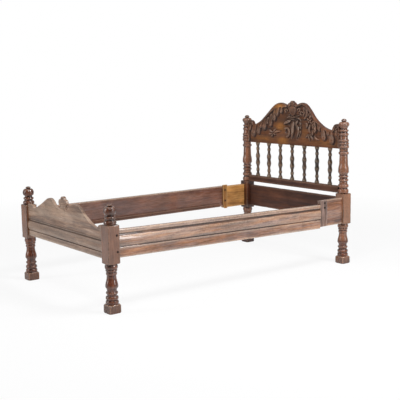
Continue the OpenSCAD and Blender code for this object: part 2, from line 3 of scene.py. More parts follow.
import bmesh
import bpy
import numpy as np
from mathutils import Matrix, Vector, kdtree, noise
from mathutils.bvhtree import BVHTree
from mathutils.geometry import delaunay_2d_cdt


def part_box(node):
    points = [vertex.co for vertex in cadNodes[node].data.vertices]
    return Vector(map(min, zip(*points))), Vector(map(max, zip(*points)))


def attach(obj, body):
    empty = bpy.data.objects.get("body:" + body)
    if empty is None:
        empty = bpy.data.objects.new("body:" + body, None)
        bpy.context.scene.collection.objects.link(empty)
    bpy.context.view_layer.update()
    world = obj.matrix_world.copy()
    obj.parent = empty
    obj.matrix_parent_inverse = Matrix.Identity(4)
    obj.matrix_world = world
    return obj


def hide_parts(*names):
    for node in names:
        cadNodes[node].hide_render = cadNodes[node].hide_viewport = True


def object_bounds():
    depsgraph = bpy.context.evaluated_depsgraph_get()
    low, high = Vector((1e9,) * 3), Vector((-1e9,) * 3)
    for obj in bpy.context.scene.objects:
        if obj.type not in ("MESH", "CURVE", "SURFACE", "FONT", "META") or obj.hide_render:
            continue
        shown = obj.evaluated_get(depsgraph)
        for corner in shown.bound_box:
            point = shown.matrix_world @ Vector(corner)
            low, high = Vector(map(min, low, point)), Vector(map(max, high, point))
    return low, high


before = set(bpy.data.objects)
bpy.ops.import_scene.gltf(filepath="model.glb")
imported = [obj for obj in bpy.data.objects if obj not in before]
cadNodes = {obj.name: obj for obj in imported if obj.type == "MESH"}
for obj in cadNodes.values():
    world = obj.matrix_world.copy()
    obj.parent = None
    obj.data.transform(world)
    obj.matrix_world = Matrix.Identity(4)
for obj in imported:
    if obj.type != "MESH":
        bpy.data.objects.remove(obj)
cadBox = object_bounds()
mm = 0.001
print("frame loaded,", len(cadNodes), "nodes")


def placed(name, data):
    thing = bpy.data.objects.new(name, data)
    bpy.context.scene.collection.objects.link(thing)
    return thing


# camera, fitted to the posts' corners in the photograph
cameraLook = {
    "place": (4.5031, -3.3927, 1.3553),
    "yaw": 52.497,  # degrees from +Y towards -X
    "pitch": 7.978,  # degrees below level
    "roll": -0.825,
    "focalPx": 798.93,  # in the photograph's pixels
    "centrePx": (197.996, 192.859),
    "framePx": 400,
    "sensorWide": 36,
    "sees": 100,
}


def makeCamera(look):
    yaw, pitch, roll = (math.radians(look[key]) for key in ("yaw", "pitch", "roll"))
    lens = bpy.data.cameras.new("photoCamera")
    lens.sensor_width = look["sensorWide"]
    lens.lens = look["focalPx"] / look["framePx"] * lens.sensor_width
    lens.shift_x = 0.5 - look["centrePx"][0] / look["framePx"]
    lens.shift_y = look["centrePx"][1] / look["framePx"] - 0.5
    lens.clip_end = look["sees"]
    camera = placed("photoCamera", lens)
    turned = Matrix.Rotation(yaw, 4, "Z") @ Matrix.Rotation(math.pi / 2 - pitch, 4, "X")
    camera.matrix_world = Matrix.Translation(look["place"]) @ turned @ Matrix.Rotation(roll, 4, "Z")
    bpy.context.scene.camera = camera


makeCamera(cameraLook)


def colour(hexText):
    parts = [int(hexText[i:i + 2], 16) / 255 for i in (1, 3, 5)]
    return tuple(((c + 0.055) / 1.055) ** 2.4 if c > 0.04045 else c / 12.92 for c in parts) + (1,)


# short ways to lay out the nodes of a material or of the sky; text is a colour
class NodeDesk:
    def __init__(self, owner):
        owner.use_nodes = True
        self.tree = owner.node_tree
        self.shader = self.tree.nodes.get("Principled BSDF")

    def put(self, value, socket):
        if isinstance(value, bpy.types.NodeSocket):
            self.tree.links.new(value, socket)
        else:
            socket.default_value = colour(value) if isinstance(value, str) else value

    # a new node with its first inputs filled in their order
    def add(self, kind, *values, **settings):
        made = self.tree.nodes.new(kind)
        for key, value in settings.items():
            setattr(made, key, value)
        for value, socket in zip(values, made.inputs):
            self.put(value, socket)
        return made

    def clouds(self, place, scale, detail=3.0, rough=0.55):
        made = self.add("ShaderNodeTexNoise", place)
        for key, value in (("Scale", scale), ("Detail", detail), ("Roughness", rough)):
            self.put(value, made.inputs[key])
        return made.outputs["Fac"]

    # value, then where it comes from and goes to; left out, it goes to 0 and 1
    def remap(self, *numbers):
        return self.add("ShaderNodeMapRange", *numbers).outputs["Result"]

    def maths(self, how, a, b):
        return self.add("ShaderNodeMath", a, b, operation=how).outputs["Value"]

    def weighed(self, a, b, share):
        return self.maths("ADD", self.maths("MULTIPLY", a, share), self.maths("MULTIPLY", b, 1 - share))

    def scaled(self, value, factor):
        made = self.add("ShaderNodeVectorMath", value, operation="SCALE")
        self.put(factor, made.inputs["Scale"])
        return made.outputs["Vector"]

    def mixed(self, factor, a, b):
        made = self.add("ShaderNodeMix", factor, data_type="RGBA")
        self.put(a, made.inputs[6])
        self.put(b, made.inputs[7])
        return made.outputs[2]

    def ramp(self, value, places, colours):
        made = self.add("ShaderNodeValToRGB", value)
        elements = made.color_ramp.elements
        while len(elements) < len(places):
            elements.new(1.0)
        for element, place, tone in zip(elements, places, colours):
            element.position = place
            element.color = colour(tone)
        return made.outputs["Color"]

    def painted(self, name):
        return self.add("ShaderNodeAttribute", attribute_name=name).outputs["Fac"]

    def relief(self, height, strength, distance):
        made = self.add("ShaderNodeBump", strength, distance)
        self.put(height, made.inputs["Height"])
        self.put(made.outputs["Normal"], self.shader.inputs["Normal"])


# white sweep behind and under the bed, a dimmer room on the camera's side, soft panels
studio = {
    "skyLevel": 0.18,
    "sweepWay": (-0.79, 0.61, 0.0),  # towards the middle of the white sweep
    "roomFade": (-0.5, 0.35),  # where the room ends and the sweep begins
    "roomSide": 0.1,  # how bright the room and the sweep show in gloss
    "sweepSide": 0.4,
    "floorHalf": 14,
    "floorColour": (0.88, 0.88, 0.89),
    "floorRough": 0.9,
    "floorGlow": (0.86, 1.0),  # how far the floor is lifted to white, near and far
    "floorFade": (1.6, 4.2),  # where near ends and far begins, in metres
    "panels": [  # place, aim, size, watts
        ((-1.6, -4.8, 1.9), (0, 0, 0.45), (1.2, 2.6), 76),
        ((4.2, 1.3, 1.8), (0, 0, 0.45), (0.6, 2.4), 62),
        ((2.1, 0.8, 3.4), (0, -0.4, 0.45), (1.1, 0.9), 86),
        ((-1.2, -1.0, 4.0), (0, 0, 0.45), (2.6, 2.6), 20),
        ((1.5, -1.7, 2.9), (0.1, 1.0, 0.9), (1.2, 1.0), 37),
    ],
}


# the camera sees white, gloss sees the sweep and the room, and the rest is plain light
def makeSky(look):
    world = bpy.data.worlds.new("studio")
    bpy.context.scene.world = world
    desk = NodeDesk(world)
    desk.tree.nodes.clear()
    white = (1, 1, 1, 1)
    way = desk.add("ShaderNodeTexCoord").outputs["Generated"]
    facing = desk.add("ShaderNodeVectorMath", way, look["sweepWay"], operation="DOT_PRODUCT")
    room = desk.remap(facing.outputs["Value"], *look["roomFade"], look["roomSide"], look["sweepSide"])
    ray = desk.add("ShaderNodeLightPath").outputs
    level = desk.maths("MAXIMUM", room, ray["Is Camera Ray"])
    seen = desk.maths("MAXIMUM", ray["Is Camera Ray"], ray["Is Glossy Ray"])
    seen = desk.maths("MAXIMUM", seen, ray["Is Transmission Ray"])
    plain = desk.add("ShaderNodeBackground", white, look["skyLevel"]).outputs["Background"]
    shown = desk.add("ShaderNodeBackground", white, level).outputs["Background"]
    sky = desk.add("ShaderNodeMixShader", seen, plain, shown).outputs["Shader"]
    desk.add("ShaderNodeOutputWorld", sky)


def makePanels(look):
    for number, (place, target, size, watts) in enumerate(look["panels"], 1):
        lamp = bpy.data.lights.new("panel%d" % number, "AREA")
        lamp.shape = "RECTANGLE"
        lamp.size, lamp.size_y = size
        lamp.energy = watts
        holder = placed("panel%d" % number, lamp)
        holder.location = place
        aim = Vector(target) - Vector(place)
        holder.rotation_euler = aim.to_track_quat("-Z", "Y").to_euler()


def makeFloor(look):
    half = look["floorHalf"]
    corners = [(-half, -half, 0), (half, -half, 0), (half, half, 0), (-half, half, 0)]
    mesh = bpy.data.meshes.new("floor")
    mesh.from_pydata(corners, [], [(0, 1, 2, 3)])
    paint = bpy.data.materials.new("floorPaint")
    desk = NodeDesk(paint)
    desk.put((*look["floorColour"], 1), desk.shader.inputs["Base Color"])
    desk.put(look["floorRough"], desk.shader.inputs["Roughness"])
    place = desk.add("ShaderNodeTexCoord").outputs["Object"]
    far = desk.add("ShaderNodeVectorMath", place, operation="LENGTH").outputs["Value"]
    lift = desk.remap(far, *look["floorFade"], *look["floorGlow"])
    lifted = desk.maths("MULTIPLY", lift, desk.add("ShaderNodeLightPath").outputs["Is Camera Ray"])
    glow = desk.add("ShaderNodeEmission").outputs["Emission"]
    mix = desk.add("ShaderNodeMixShader", lifted, desk.shader.outputs["BSDF"], glow)
    desk.put(mix.outputs["Shader"], desk.tree.nodes["Material Output"].inputs["Surface"])
    mesh.materials.append(paint)
    placed("floor", mesh)


makeSky(studio)
makePanels(studio)
makeFloor(studio)
bpy.context.scene.view_settings.view_transform = "Standard"
print("camera and studio ready")


# the grain's three tones, pale worn edges with painted highlights, grime and painted shade in the
# grooves, where a piece is plainer, and what drifts along the grain
def tones(text):
    return dict(zip(("dark", "mid", "light", "rubbedAndHighlit", "dirtAndShade", "bare", "warm", "cool"), text.split()))


# figure and streak are how fine the broad and the fine grain run
finishes = {
    "turnedWalnut": dict(
        tones("#34160d #57281a #875138 #d0a080 #1c0801 #7e553d #8d4d29 #60443a"), drift=0.35,
        figure=26, streak=190, rough=(0.16, 0.28), blotch=0.35, mottle=0.2, bump=0.25,
        coat=0.8, coatRough=0.04, specular=0.35),
    "spindleWalnut": dict(
        tones("#261b15 #49322a #7c5e46 #ccb091 #140d09 #a07e5a #6a4a30 #50443a"), drift=0.35,
        figure=20, streak=150, rough=(0.22, 0.36), blotch=0.35, mottle=0.3, bump=0.25,
        coat=0.65, coatRough=0.06, specular=0.35),
    "carvedWalnut": dict(
        tones("#27110a #4b281b #70442f #b89c88 #150804 #a96e2e #7b4524 #4f3932"), drift=0.45,
        figure=22, streak=150, rough=(0.28, 0.44), blotch=0.35, mottle=0.25, bump=0.4,
        coat=0.35, coatRough=0.16, specular=0.3),
    "mouldedOak": dict(
        tones("#4c2f22 #84604c #b08b71 #d0b7a2 #1d100b #61382a #a16536 #80706e"), drift=0.5,
        figure=24, streak=160, rough=(0.2, 0.36), blotch=0.4, mottle=0.2, bump=0.35,
        coat=0.65, coatRough=0.07, specular=0.4),
    "footOak": dict(
        tones("#6b5447 #9b7f6c #baa08b #c4b09f #1d110c #61382a #9a7153 #907c70"), drift=0.3,
        figure=22, streak=160, rough=(0.3, 0.48), blotch=0.22, mottle=0.14, bump=0.35,
        coat=0.3, coatRough=0.2, specular=0.35),
    "pegWood": dict(
        tones("#120b08 #1f130e #2e1d15 #3a271d #0c0705 #1f130e #2a170f #1f1714"), drift=0.3,
        figure=40, streak=200, rough=(0.6, 0.8), blotch=0.3, mottle=0.3, bump=0.4,
        coat=0.0, coatRough=0.3, specular=0.2),
    "insideOak": dict(
        tones("#35201a #4a2c22 #5f3c2e #846655 #190e0a #6b4a38 #683d22 #4c3833"), drift=0.3,
        figure=20, streak=140, rough=(0.5, 0.72), blotch=0.3, mottle=0.12, bump=0.4,
        coat=0.0, coatRough=0.3, specular=0.3),
    "newPine": dict(
        tones("#8d5a2a #b87f42 #d09a5c #ddb583 #4a2d14 #b98145 #c48439 #ab8356"), drift=0.25,
        figure=22, streak=120, rough=(0.5, 0.72), blotch=0.3, mottle=0.2, bump=0.3,
        coat=0.0, coatRough=0.3, specular=0.3),
    "greyOak": dict(
        tones("#523d35 #7a6157 #998178 #b09d92 #2a1e19 #7b665c #94705a #827674"), drift=0.35,
        figure=22, streak=150, rough=(0.5, 0.75), blotch=0.35, mottle=0.32, bump=0.4,
        coat=0.0, coatRough=0.3, specular=0.35),
}
finishes["cleatPine"] = dict(finishes["newPine"], dark="#6f4524", mid="#966636", light="#b3824f")

# how the patterns lie in every wood; a span is where a pattern starts and ends
grain = {
    "stretch": 0.07, "mottleStretch": 0.3, "mottleScale": 32, "blotchScale": 5.5, "speckScale": 90,
    "driftScale": 1.6, "poreScale": 4.5,  # against the figure's and the streak's scale
    "figureShare": 0.62, "toneAt": (0.42, 0.5, 0.58), "bareMost": 0.75,
    "driftSpan": (0.4, 0.6), "blotchSpan": (0.3, 0.7), "blotchLift": 0.55, "mottleSpan": (0.36, 0.64),
    "pores": (0.3, 0.44, 0.6, 1.0), "rubbingAndHighlight": (0.32, 0.62, 0.3, 0.85),
    "darkSpecks": (0.25, 0.6, 1.0, 0.72), "darkDrift": (0, 1, 0.7, 1.0),
    "glossSpan": (0.35, 0.65), "dirtAndShadeDull": 0.25, "dullest": 0.92,
    "streakBump": 0.6, "bumpDepth": 0.6 * mm,
}


def woodFinish(kind, along):
    look = dict(grain, **finishes[kind])
    wood = bpy.data.materials.new("%s_%s" % (kind, along))
    desk = NodeDesk(wood)
    place = desk.add("ShaderNodeTexCoord").outputs["Object"]

    def drawnOut(amount):
        drawn = desk.add("ShaderNodeMapping", place)
        drawn.inputs["Scale"].default_value = [amount if k == along else 1 for k in "xyz"]
        return drawn.outputs["Vector"]

    fibre = drawnOut(look["stretch"])
    figure = desk.clouds(fibre, look["figure"], 4.0, 0.6)
    streak = desk.clouds(fibre, look["streak"], 3.0, 0.6)
    mottle = desk.clouds(drawnOut(look["mottleStretch"]), look["mottleScale"], 5.0, 0.65)
    pores = desk.clouds(fibre, look["streak"] * look["poreScale"], 2.0)
    blotch = desk.clouds(place, look["blotchScale"])
    speck = desk.clouds(place, look["speckScale"], 4.0, 0.65)
    drift = desk.remap(desk.clouds(fibre, look["figure"] * look["driftScale"]), *look["driftSpan"])

    base = desk.weighed(figure, streak, look["figureShare"])
    ground = desk.ramp(base, look["toneAt"], [look[tone] for tone in ("dark", "mid", "light")])
    ground = desk.mixed(look["drift"], ground, desk.mixed(drift, look["warm"], look["cool"]))
    opened = desk.maths("MULTIPLY", desk.painted("bare"), look["bareMost"])
    ground = desk.mixed(opened, ground, look["bare"])
    lifted = 1 + look["blotch"] * look["blotchLift"]
    stain = desk.remap(blotch, *look["blotchSpan"], 1 - look["blotch"], lifted)
    flecks = desk.remap(mottle, *look["mottleSpan"], 1 - look["mottle"], 1 + look["mottle"])
    stained = desk.scaled(ground, desk.maths("MULTIPLY", stain, flecks))
    toned = desk.scaled(stained, desk.remap(pores, *look["pores"]))

    # the pale mix carries worn edges and painted highlights alike
    rubbingAndHighlight = desk.maths("MULTIPLY", desk.painted("wearAndHighlight"), desk.remap(speck, *look["rubbingAndHighlight"]))
    worn = desk.mixed(rubbingAndHighlight, toned, look["rubbedAndHighlit"])
    # the dark mix carries grime and painted shade alike
    specks, drifts = desk.remap(speck, *look["darkSpecks"]), desk.remap(drift, *look["darkDrift"])
    darkMixShare = desk.maths("MULTIPLY", desk.painted("dirtAndShade"), desk.maths("MULTIPLY", specks, drifts))
    desk.put(desk.mixed(darkMixShare, worn, look["dirtAndShade"]), desk.shader.inputs["Base Color"])

    gloss = desk.remap(streak, *look["glossSpan"], *look["rough"])
    dull = desk.maths("ADD", gloss, desk.maths("MULTIPLY", darkMixShare, look["dirtAndShadeDull"]))
    desk.put(desk.maths("MINIMUM", dull, look["dullest"]), desk.shader.inputs["Roughness"])
    desk.shader.inputs["Coat Weight"].default_value = look["coat"]
    desk.shader.inputs["Coat Roughness"].default_value = look["coatRough"]
    desk.shader.inputs["Specular IOR Level"].default_value = look["specular"]
    desk.relief(desk.weighed(streak, pores, look["streakBump"]), look["bump"], look["bumpDepth"])
    return wood


ironLook = {
    "tones": ("#1c1917", "#3d3530", "#5a3520"), "toneAt": (0.35, 0.55, 0.72),
    "spots": 220, "rough": (0.42, 0.75), "metallic": 0.75, "bump": 0.4, "bumpDepth": 0.4 * mm,
}


def ironFinish(look):
    metal = bpy.data.materials.new("darkIron")
    desk = NodeDesk(metal)
    spots = desk.clouds(desk.add("ShaderNodeTexCoord").outputs["Object"], look["spots"], 5.0)
    desk.put(desk.ramp(spots, look["toneAt"], look["tones"]), desk.shader.inputs["Base Color"])
    desk.put(desk.remap(spots, 0.3, 0.7, *look["rough"]), desk.shader.inputs["Roughness"])
    desk.put(look["metallic"], desk.shader.inputs["Metallic"])
    desk.relief(spots, look["bump"], look["bumpDepth"])
    return metal


print("finishes mixed")


# the longest outline where a plane cuts a node, anticlockwise in its two other coordinates
def cutOutline(nodeName, axis, at):
    work = bmesh.new()
    work.from_mesh(cadNodes[nodeName].data)
    bmesh.ops.remove_doubles(work, verts=work.verts, dist=2e-5)
    normal = Vector([float(k == axis) for k in "xyz"])
    everything = work.verts[:] + work.edges[:] + work.faces[:]
    cut = bmesh.ops.bisect_plane(work, geom=everything, plane_co=normal * at, plane_no=normal)
    edges = [g for g in cut["geom_cut"] if isinstance(g, bmesh.types.BMEdge)]
    left = set(edges)
    kept = [k for k in range(3) if "xyz"[k] != axis]
    best, bestRun = None, 0
    for edge in edges:  # in the mesh's own order, so that each run starts at the same point
        if edge not in left:
            continue
        left.discard(edge)
        first, here = edge.verts
        ring = [first]
        while here != first:
            ring.append(here)
            edge = next((e for e in here.link_edges if e in left), None)
            if edge is None:
                break
            left.discard(edge)
            here = edge.other_vert(here)
        loop = np.array([[v.co[k] for k in kept] for v in ring])
        run = np.linalg.norm(loop - np.roll(loop, 1, 0), axis=1).sum()
        if run > bestRun:
            best, bestRun = loop, run
    work.free()
    after = np.roll(best, -1, 0)
    area = (best[:, 0] * after[:, 1] - best[:, 1] * after[:, 0]).sum()
    return best if area > 0 else best[::-1]


def evenly(loop, step):
    closed = np.vstack([loop, loop[:1]])
    run = np.concatenate([[0], np.cumsum(np.linalg.norm(np.diff(closed, axis=0), axis=1))])
    count = max(12, int(round(run[-1] / step)))
    at = np.linspace(0, run[-1], count, endpoint=False)
    return np.column_stack([np.interp(at, run, closed[:, k]) for k in (0, 1)])


# running average with a bell-shaped weight; sigma counts samples
def softened(values, sigma, closed=True, axis=0):
    reach = int(sigma * 3) + 1
    weight = np.exp(-0.5 * (np.arange(-reach, reach + 1) / sigma) ** 2)
    weight /= weight.sum()
    rows = np.moveaxis(values, axis, 0)
    edges = [(reach, reach)] + [(0, 0)] * (rows.ndim - 1)
    padded = np.pad(rows, edges, mode="wrap" if closed else "edge")
    smoothed = sum(w * padded[k:k + len(rows)] for k, w in enumerate(weight))
    return np.moveaxis(smoothed, 0, axis)


def softenedBoth(raster, sigma):
    return softened(softened(raster, sigma, closed=False), sigma, closed=False, axis=1)


def outwardOf(loop):
    along = np.roll(loop, -1, 0) - np.roll(loop, 1, 0)
    outward = np.column_stack([along[:, 1], -along[:, 0]])
    return outward / (np.linalg.norm(outward, axis=1)[:, None] + 1e-12)


# what stands proud of its surroundings wears and gets painted highlights, what lies deep is darkened
# with grime and painted shade
def feelOf(bulge, look):
    wearAndHighlight, dirtAndShade = bulge / look["wearAt"], -bulge / look["dirtAndShadeAt"]
    return {"wearAndHighlight": np.clip(wearAndHighlight, 0, 1), "dirtAndShade": np.clip(dirtAndShade, 0, 1)}


def ripple(point, fine, seed):
    x, y, z = point[0] * fine[0], point[1] * fine[1], point[2] * fine[2]
    return noise.noise(Vector((x + seed * 7.3, y + seed * 3.1, z + seed * 5.7)))


def nearestOf(points):
    tree = kdtree.KDTree(len(points))
    for i, point in enumerate(points):
        tree.insert(point, i)
    tree.balance()
    return tree


def dressPiece(name, mesh, feel, finish, slotName, replaced, sharpAt=38):
    for vertex in mesh.vertices:  # knocks and swellings never leave the object's box
        vertex.co = [min(max(c, low), high) for c, low, high in zip(vertex.co, *cadBox)]
    for key, values in feel.items():
        layer = mesh.attributes.new(key, "FLOAT", "POINT")
        layer.data.foreach_set("value", np.asarray(values, np.float32))
    mesh.shade_smooth()
    mesh.set_sharp_from_angle(angle=math.radians(sharpAt))
    mesh.materials.clear()
    mesh.materials.append(finish)
    piece = placed(name, mesh)
    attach(piece, "root")
    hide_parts(replaced)


def facedMesh(name, points, faces):
    mesh = bpy.data.meshes.new(name)
    mesh.from_pydata([tuple(p) for p in points], [], faces)
    work = bmesh.new()
    work.from_mesh(mesh)
    bmesh.ops.recalc_face_normals(work, faces=work.faces)
    work.to_mesh(mesh)
    work.free()
    return mesh


# closed skin over rings of points, each ring as long as the next
def skinOver(rings):
    count, around = rings.shape[:2]
    faces = []
    for i in range(count - 1):
        for j in range(around):
            here, after = i * around + j, i * around + (j + 1) % around
            faces.append((here, after, after + around, here + around))
    faces.append(tuple(range(around)))
    faces.append(tuple(range((count - 1) * around, count * around)))
    return rings.reshape(-1, 3), faces


# posts and spindles: the frame gives the half width and the diagonal at each height,
# and a rounded square between the two is drawn there; where they are equal it is a circle
turning = {
    "step": 1.1 * mm, "around": 48,
    "edge": 0.7 * mm,  # softening of steps up and down
    "arris": 2.2 * mm,  # least rounding of a square's corners
    "squareFrom": 1.12,  # diagonal against half width
    "crisp": 1.2,  # how much deeper the grooves are cut than the frame has them
    "deeper": 2.6 * mm,
    "oval": 0.35 * mm, "ovalFine": (0.8, 0.8, 6),
    "chatter": 0.16 * mm, "chatterFine": (1, 1, 160),
    "knock": 2.2 * mm, "knockFine": (1.6, 1.6, 34), "knockFrom": 0.05,
    "planed": 0.32 * mm, "planedFine": (2, 2, 12),
    "feelReach": 4.5 * mm, "wearAt": 1.5 * mm, "wearFrom": 0.1, "wearMost": 0.38,
    "dirtAndShadeAt": 1.2 * mm, "dirtAndShadeFrom": 0.15, "dirtAndShadeMost": 0.9, "dirtAndShadeCurve": 1.9,
    "halfBlock": 40 * mm, "arrisWear": 6 * mm,
    "arrisLine": 4.0 * mm, "arrisShade": 0.95, "lineFrom": 0.12,  # painted shade along the blocks' arrises
    "foot": 0.06, "footSoil": 0.5,
}


def turnedRings(nodeName, centre, flatWay, look):
    tree = BVHTree.FromPolygons(
        [v.co for v in cadNodes[nodeName].data.vertices],
        [p.vertices for p in cadNodes[nodeName].data.polygons])
    low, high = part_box(nodeName)
    count = int((high.z - low.z) / look["step"])
    heights = np.linspace(low.z + 0.1 * mm, high.z - 0.1 * mm, count)
    diagonalWay = [flat or math.copysign(1, c) for flat, c in zip(flatWay, centre)]

    def reach(way, z):
        way = Vector((*way, 0)).normalized()
        start = Vector((*centre, z)) + way * 0.2
        hit = tree.ray_cast(start, -way)[0]
        return (hit.xy - Vector(centre)).length

    flat = np.array([reach(flatWay, z) for z in heights])
    diagonal = np.array([reach(diagonalWay, z) for z in heights])
    corner = (flat * math.sqrt(2) - diagonal) / (math.sqrt(2) - 1)
    corner = np.clip(corner, np.minimum(look["arris"], flat), flat)
    square = diagonal > look["squareFrom"] * flat
    corner = np.where(square, corner, flat)

    near = np.radians(np.linspace(-4, 4, 7))  # extra points round a corner
    between = np.radians(np.linspace(8, 82, look["around"] // 4))
    quarter = np.concatenate([near, between]) + math.pi / 4
    angles = np.concatenate([quarter + k * math.pi / 2 for k in range(4)])
    folded = np.abs((angles + math.pi / 4) % (math.pi / 2) - math.pi / 4)
    cosine, sine = np.cos(folded), np.sin(folded)
    f, c = flat[:, None], corner[:, None]
    inset = f - c
    dot = inset * (cosine + sine)
    onCorner = dot + np.sqrt(np.maximum(c ** 2 - 2 * inset ** 2 + dot ** 2, 0))
    radius = np.where(f * np.tan(folded) <= inset, f / cosine, onCorner)
    return heights, angles, radius, square


# how far each point of a square part is from its nearest arris
def squareEdge(heights, angles, square, half):
    if not square.any():
        return np.ones((len(heights), len(angles)))
    offCorner = np.abs((angles % (math.pi / 2)) - math.pi / 4)
    across = half * (1 - np.tan(math.pi / 4 - offCorner))
    ends = np.nonzero(np.diff(square.astype(int)))[0]
    toEnd = np.abs(heights[:, None] - heights[ends]).min(1)
    return np.minimum(np.maximum(across, 0)[None, :], toEnd[:, None])


def turnedPiece(nodeName, centre, flatWay, seed, look):
    heights, angles, radius, square = turnedRings(nodeName, centre, flatWay, look)
    step = look["step"]
    radius = softened(radius, look["edge"] / step, closed=False)
    bulge = radius - softened(radius, look["feelReach"] / step, closed=False)
    radius = radius + np.clip(bulge * look["crisp"], -look["deeper"], 0) * ~square[:, None]
    proud = np.clip(bulge / look["wearAt"] - look["wearFrom"], 0, 1) * look["wearMost"]
    deep = np.clip(-bulge / look["dirtAndShadeAt"] - look["dirtAndShadeFrom"], 0, 1)
    deep = deep ** look["dirtAndShadeCurve"] * look["dirtAndShadeMost"]
    toEdge = squareEdge(heights, angles, square, look["halfBlock"])
    rim = np.clip(1 - toEdge / look["arrisWear"], 0, 1)
    # a dark line of painted shade along the blocks' arrises
    arrisShadeLine = look["arrisShade"] * (toEdge < look["arrisLine"]) * (heights > look["lineFrom"])[:, None]
    onBlock = np.repeat(square[:, None], len(angles), 1)
    # on the blocks the dark channel holds painted shade only; on the turnings, grime and painted shade
    # in the grooves
    wearAndHighlight, dirtAndShade = np.where(onBlock, rim, proud), np.where(onBlock, arrisShadeLine, deep)
    rings = np.empty((len(heights), len(angles), 3))
    for i, z in enumerate(heights):
        for j, a in enumerate(angles):
            r = radius[i, j]
            spot = math.cos(a), math.sin(a), z
            if square[i]:
                hit = ripple(spot, look["knockFine"], seed + 5)
                r -= look["knock"] * wearAndHighlight[i, j] * max(0, hit - look["knockFrom"])
                r += look["planed"] * ripple(spot, look["planedFine"], seed)
            else:
                r += look["oval"] * ripple(spot, look["ovalFine"], seed)
                r += look["chatter"] * ripple(spot, look["chatterFine"], seed + 2)
            rings[i, j] = centre[0] + r * spot[0], centre[1] + r * spot[1], z
    rings[0, :, 2], rings[-1, :, 2] = (end.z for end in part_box(nodeName))
    if look["foot"]:
        nearFloor = np.clip(1 - heights / look["foot"], 0, 1)[:, None] ** 2
        dirtAndShade = np.maximum(dirtAndShade, look["footSoil"] * nearFloor)
    points, faces = skinOver(rings)
    return points, faces, {"wearAndHighlight": wearAndHighlight.ravel(), "dirtAndShade": dirtAndShade.ravel(), "bare": onBlock.ravel() * 1.0}


def boredThrough(mesh, holes):
    work = bmesh.new()
    for place, radius, length in holes:
        turn = Matrix.Rotation(math.pi / 2, 4, "Y")
        bmesh.ops.create_cone(
            work, cap_ends=True, segments=28, radius1=radius, radius2=radius, depth=length,
            matrix=Matrix.Translation(place) @ turn)
    tool = bpy.data.meshes.new("drill")
    work.to_mesh(tool)
    work.free()
    body, drill = placed("body", mesh), placed("drill", tool)
    cutter = body.modifiers.new("drilled", "BOOLEAN")
    cutter.operation = "DIFFERENCE"
    cutter.solver = "EXACT"
    cutter.object = drill
    bpy.context.view_layer.update()
    cut = body.evaluated_get(bpy.context.evaluated_depsgraph_get())
    drilled = bpy.data.meshes.new_from_object(cut)
    bpy.data.objects.remove(body)
    bpy.data.objects.remove(drill)
    return drilled


# carries the worn and dark channels over to the drilled mesh; what is far from the old points is in a
# hole, and is painted dark as shade inside the hole
def feelAt(mesh, points, feel, holeShade=1.0, wall=4 * mm):
    tree = nearestOf(points)
    carried = {key: [] for key in feel}
    for vertex in mesh.vertices:
        _, index, far = tree.find(vertex.co)
        for key, values in feel.items():
            carried[key].append(holeShade * (key == "dirtAndShade") if far > wall else values[index])
    return carried


posts = {
    "hole": 7.0 * mm, "depth": 12 * mm, "holes": [(20 * mm, 0.468), (24 * mm, 0.369)],  # along, up
    "finialSoil": 0.66, "finialFrom": 0.54, "legSoils": [(0.3, 0.12), (0.168, 0.52)],  # below, how much
    "blockShade": 0.95, "shaftWear": 0.28, "shaftFrom": 0.17, "buttonSoil": 0.75, "button": 17 * mm,
}


def makePosts(look):
    wood = woodFinish("turnedWalnut", "z")
    footBox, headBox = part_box("foot_post_right"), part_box("head_post_right")
    centreX = (footBox[0].x + footBox[1].x) / 2
    seed = 0
    for side, sign in (("left", -1), ("right", 1)):
        for end, (low, high) in (("foot", footBox), ("head", headBox)):
            seed += 1
            name = "%s_post_%s" % (end, side)
            y = (low.y + high.y) / 2
            centre = (sign * centreX, y)
            points, faces, feel = turnedPiece(name, centre, (0, math.copysign(1, y)), seed, turning)
            mesh = facedMesh(name + "_turned", points, faces)
            across, along, up = points[:, 0] - centre[0], points[:, 1] - y, points[:, 2]
            if name == "head_post_left":  # painted shade on the block's faces where the rails meet
                darkened = feel["bare"] * (across > along)
                feel["dirtAndShade"] = np.maximum(feel["dirtAndShade"], look["blockShade"] * darkened)
                feel["bare"] = feel["bare"] - darkened
            if end == "head":
                shaft = (up > look["shaftFrom"]) & (feel["dirtAndShade"] < 0.1)
                feel["wearAndHighlight"] = np.maximum(feel["wearAndHighlight"], shaft * look["shaftWear"])
                button = up > high.z - look["button"]
                feel["dirtAndShade"] = np.maximum(feel["dirtAndShade"], button * look["buttonSoil"])
            else:
                soil = np.where(up > look["finialFrom"], look["finialSoil"], 0)
                for top, amount in look["legSoils"]:
                    soil = np.where(up < top, amount, soil)
                feel["dirtAndShade"] = np.maximum(feel["dirtAndShade"], soil)
                holes = [
                    ((sign * footBox[1].x, y + over, height), look["hole"], 2 * look["depth"])
                    for over, height in look["holes"]]
                mesh = boredThrough(mesh, holes)
                feel = feelAt(mesh, points, feel)
            dressPiece(name + "_turned", mesh, feel, wood, "dark_walnut", name)


makePosts(posts)
print("posts turned")


spindles = dict(turning, **{
    "step": 1.0 * mm, "around": 32, "crisp": 0.35, "deeper": 1.5 * mm, "foot": 0,
    "feelReach": 9 * mm, "wearAt": 2.2 * mm, "wearMost": 0.7, "dirtAndShadeAt": 1.6 * mm, "dirtAndShadeCurve": 1.5,
    "endSoil": 34 * mm, "endMost": 0.8, "swellBareAndLit": 0.35,
})


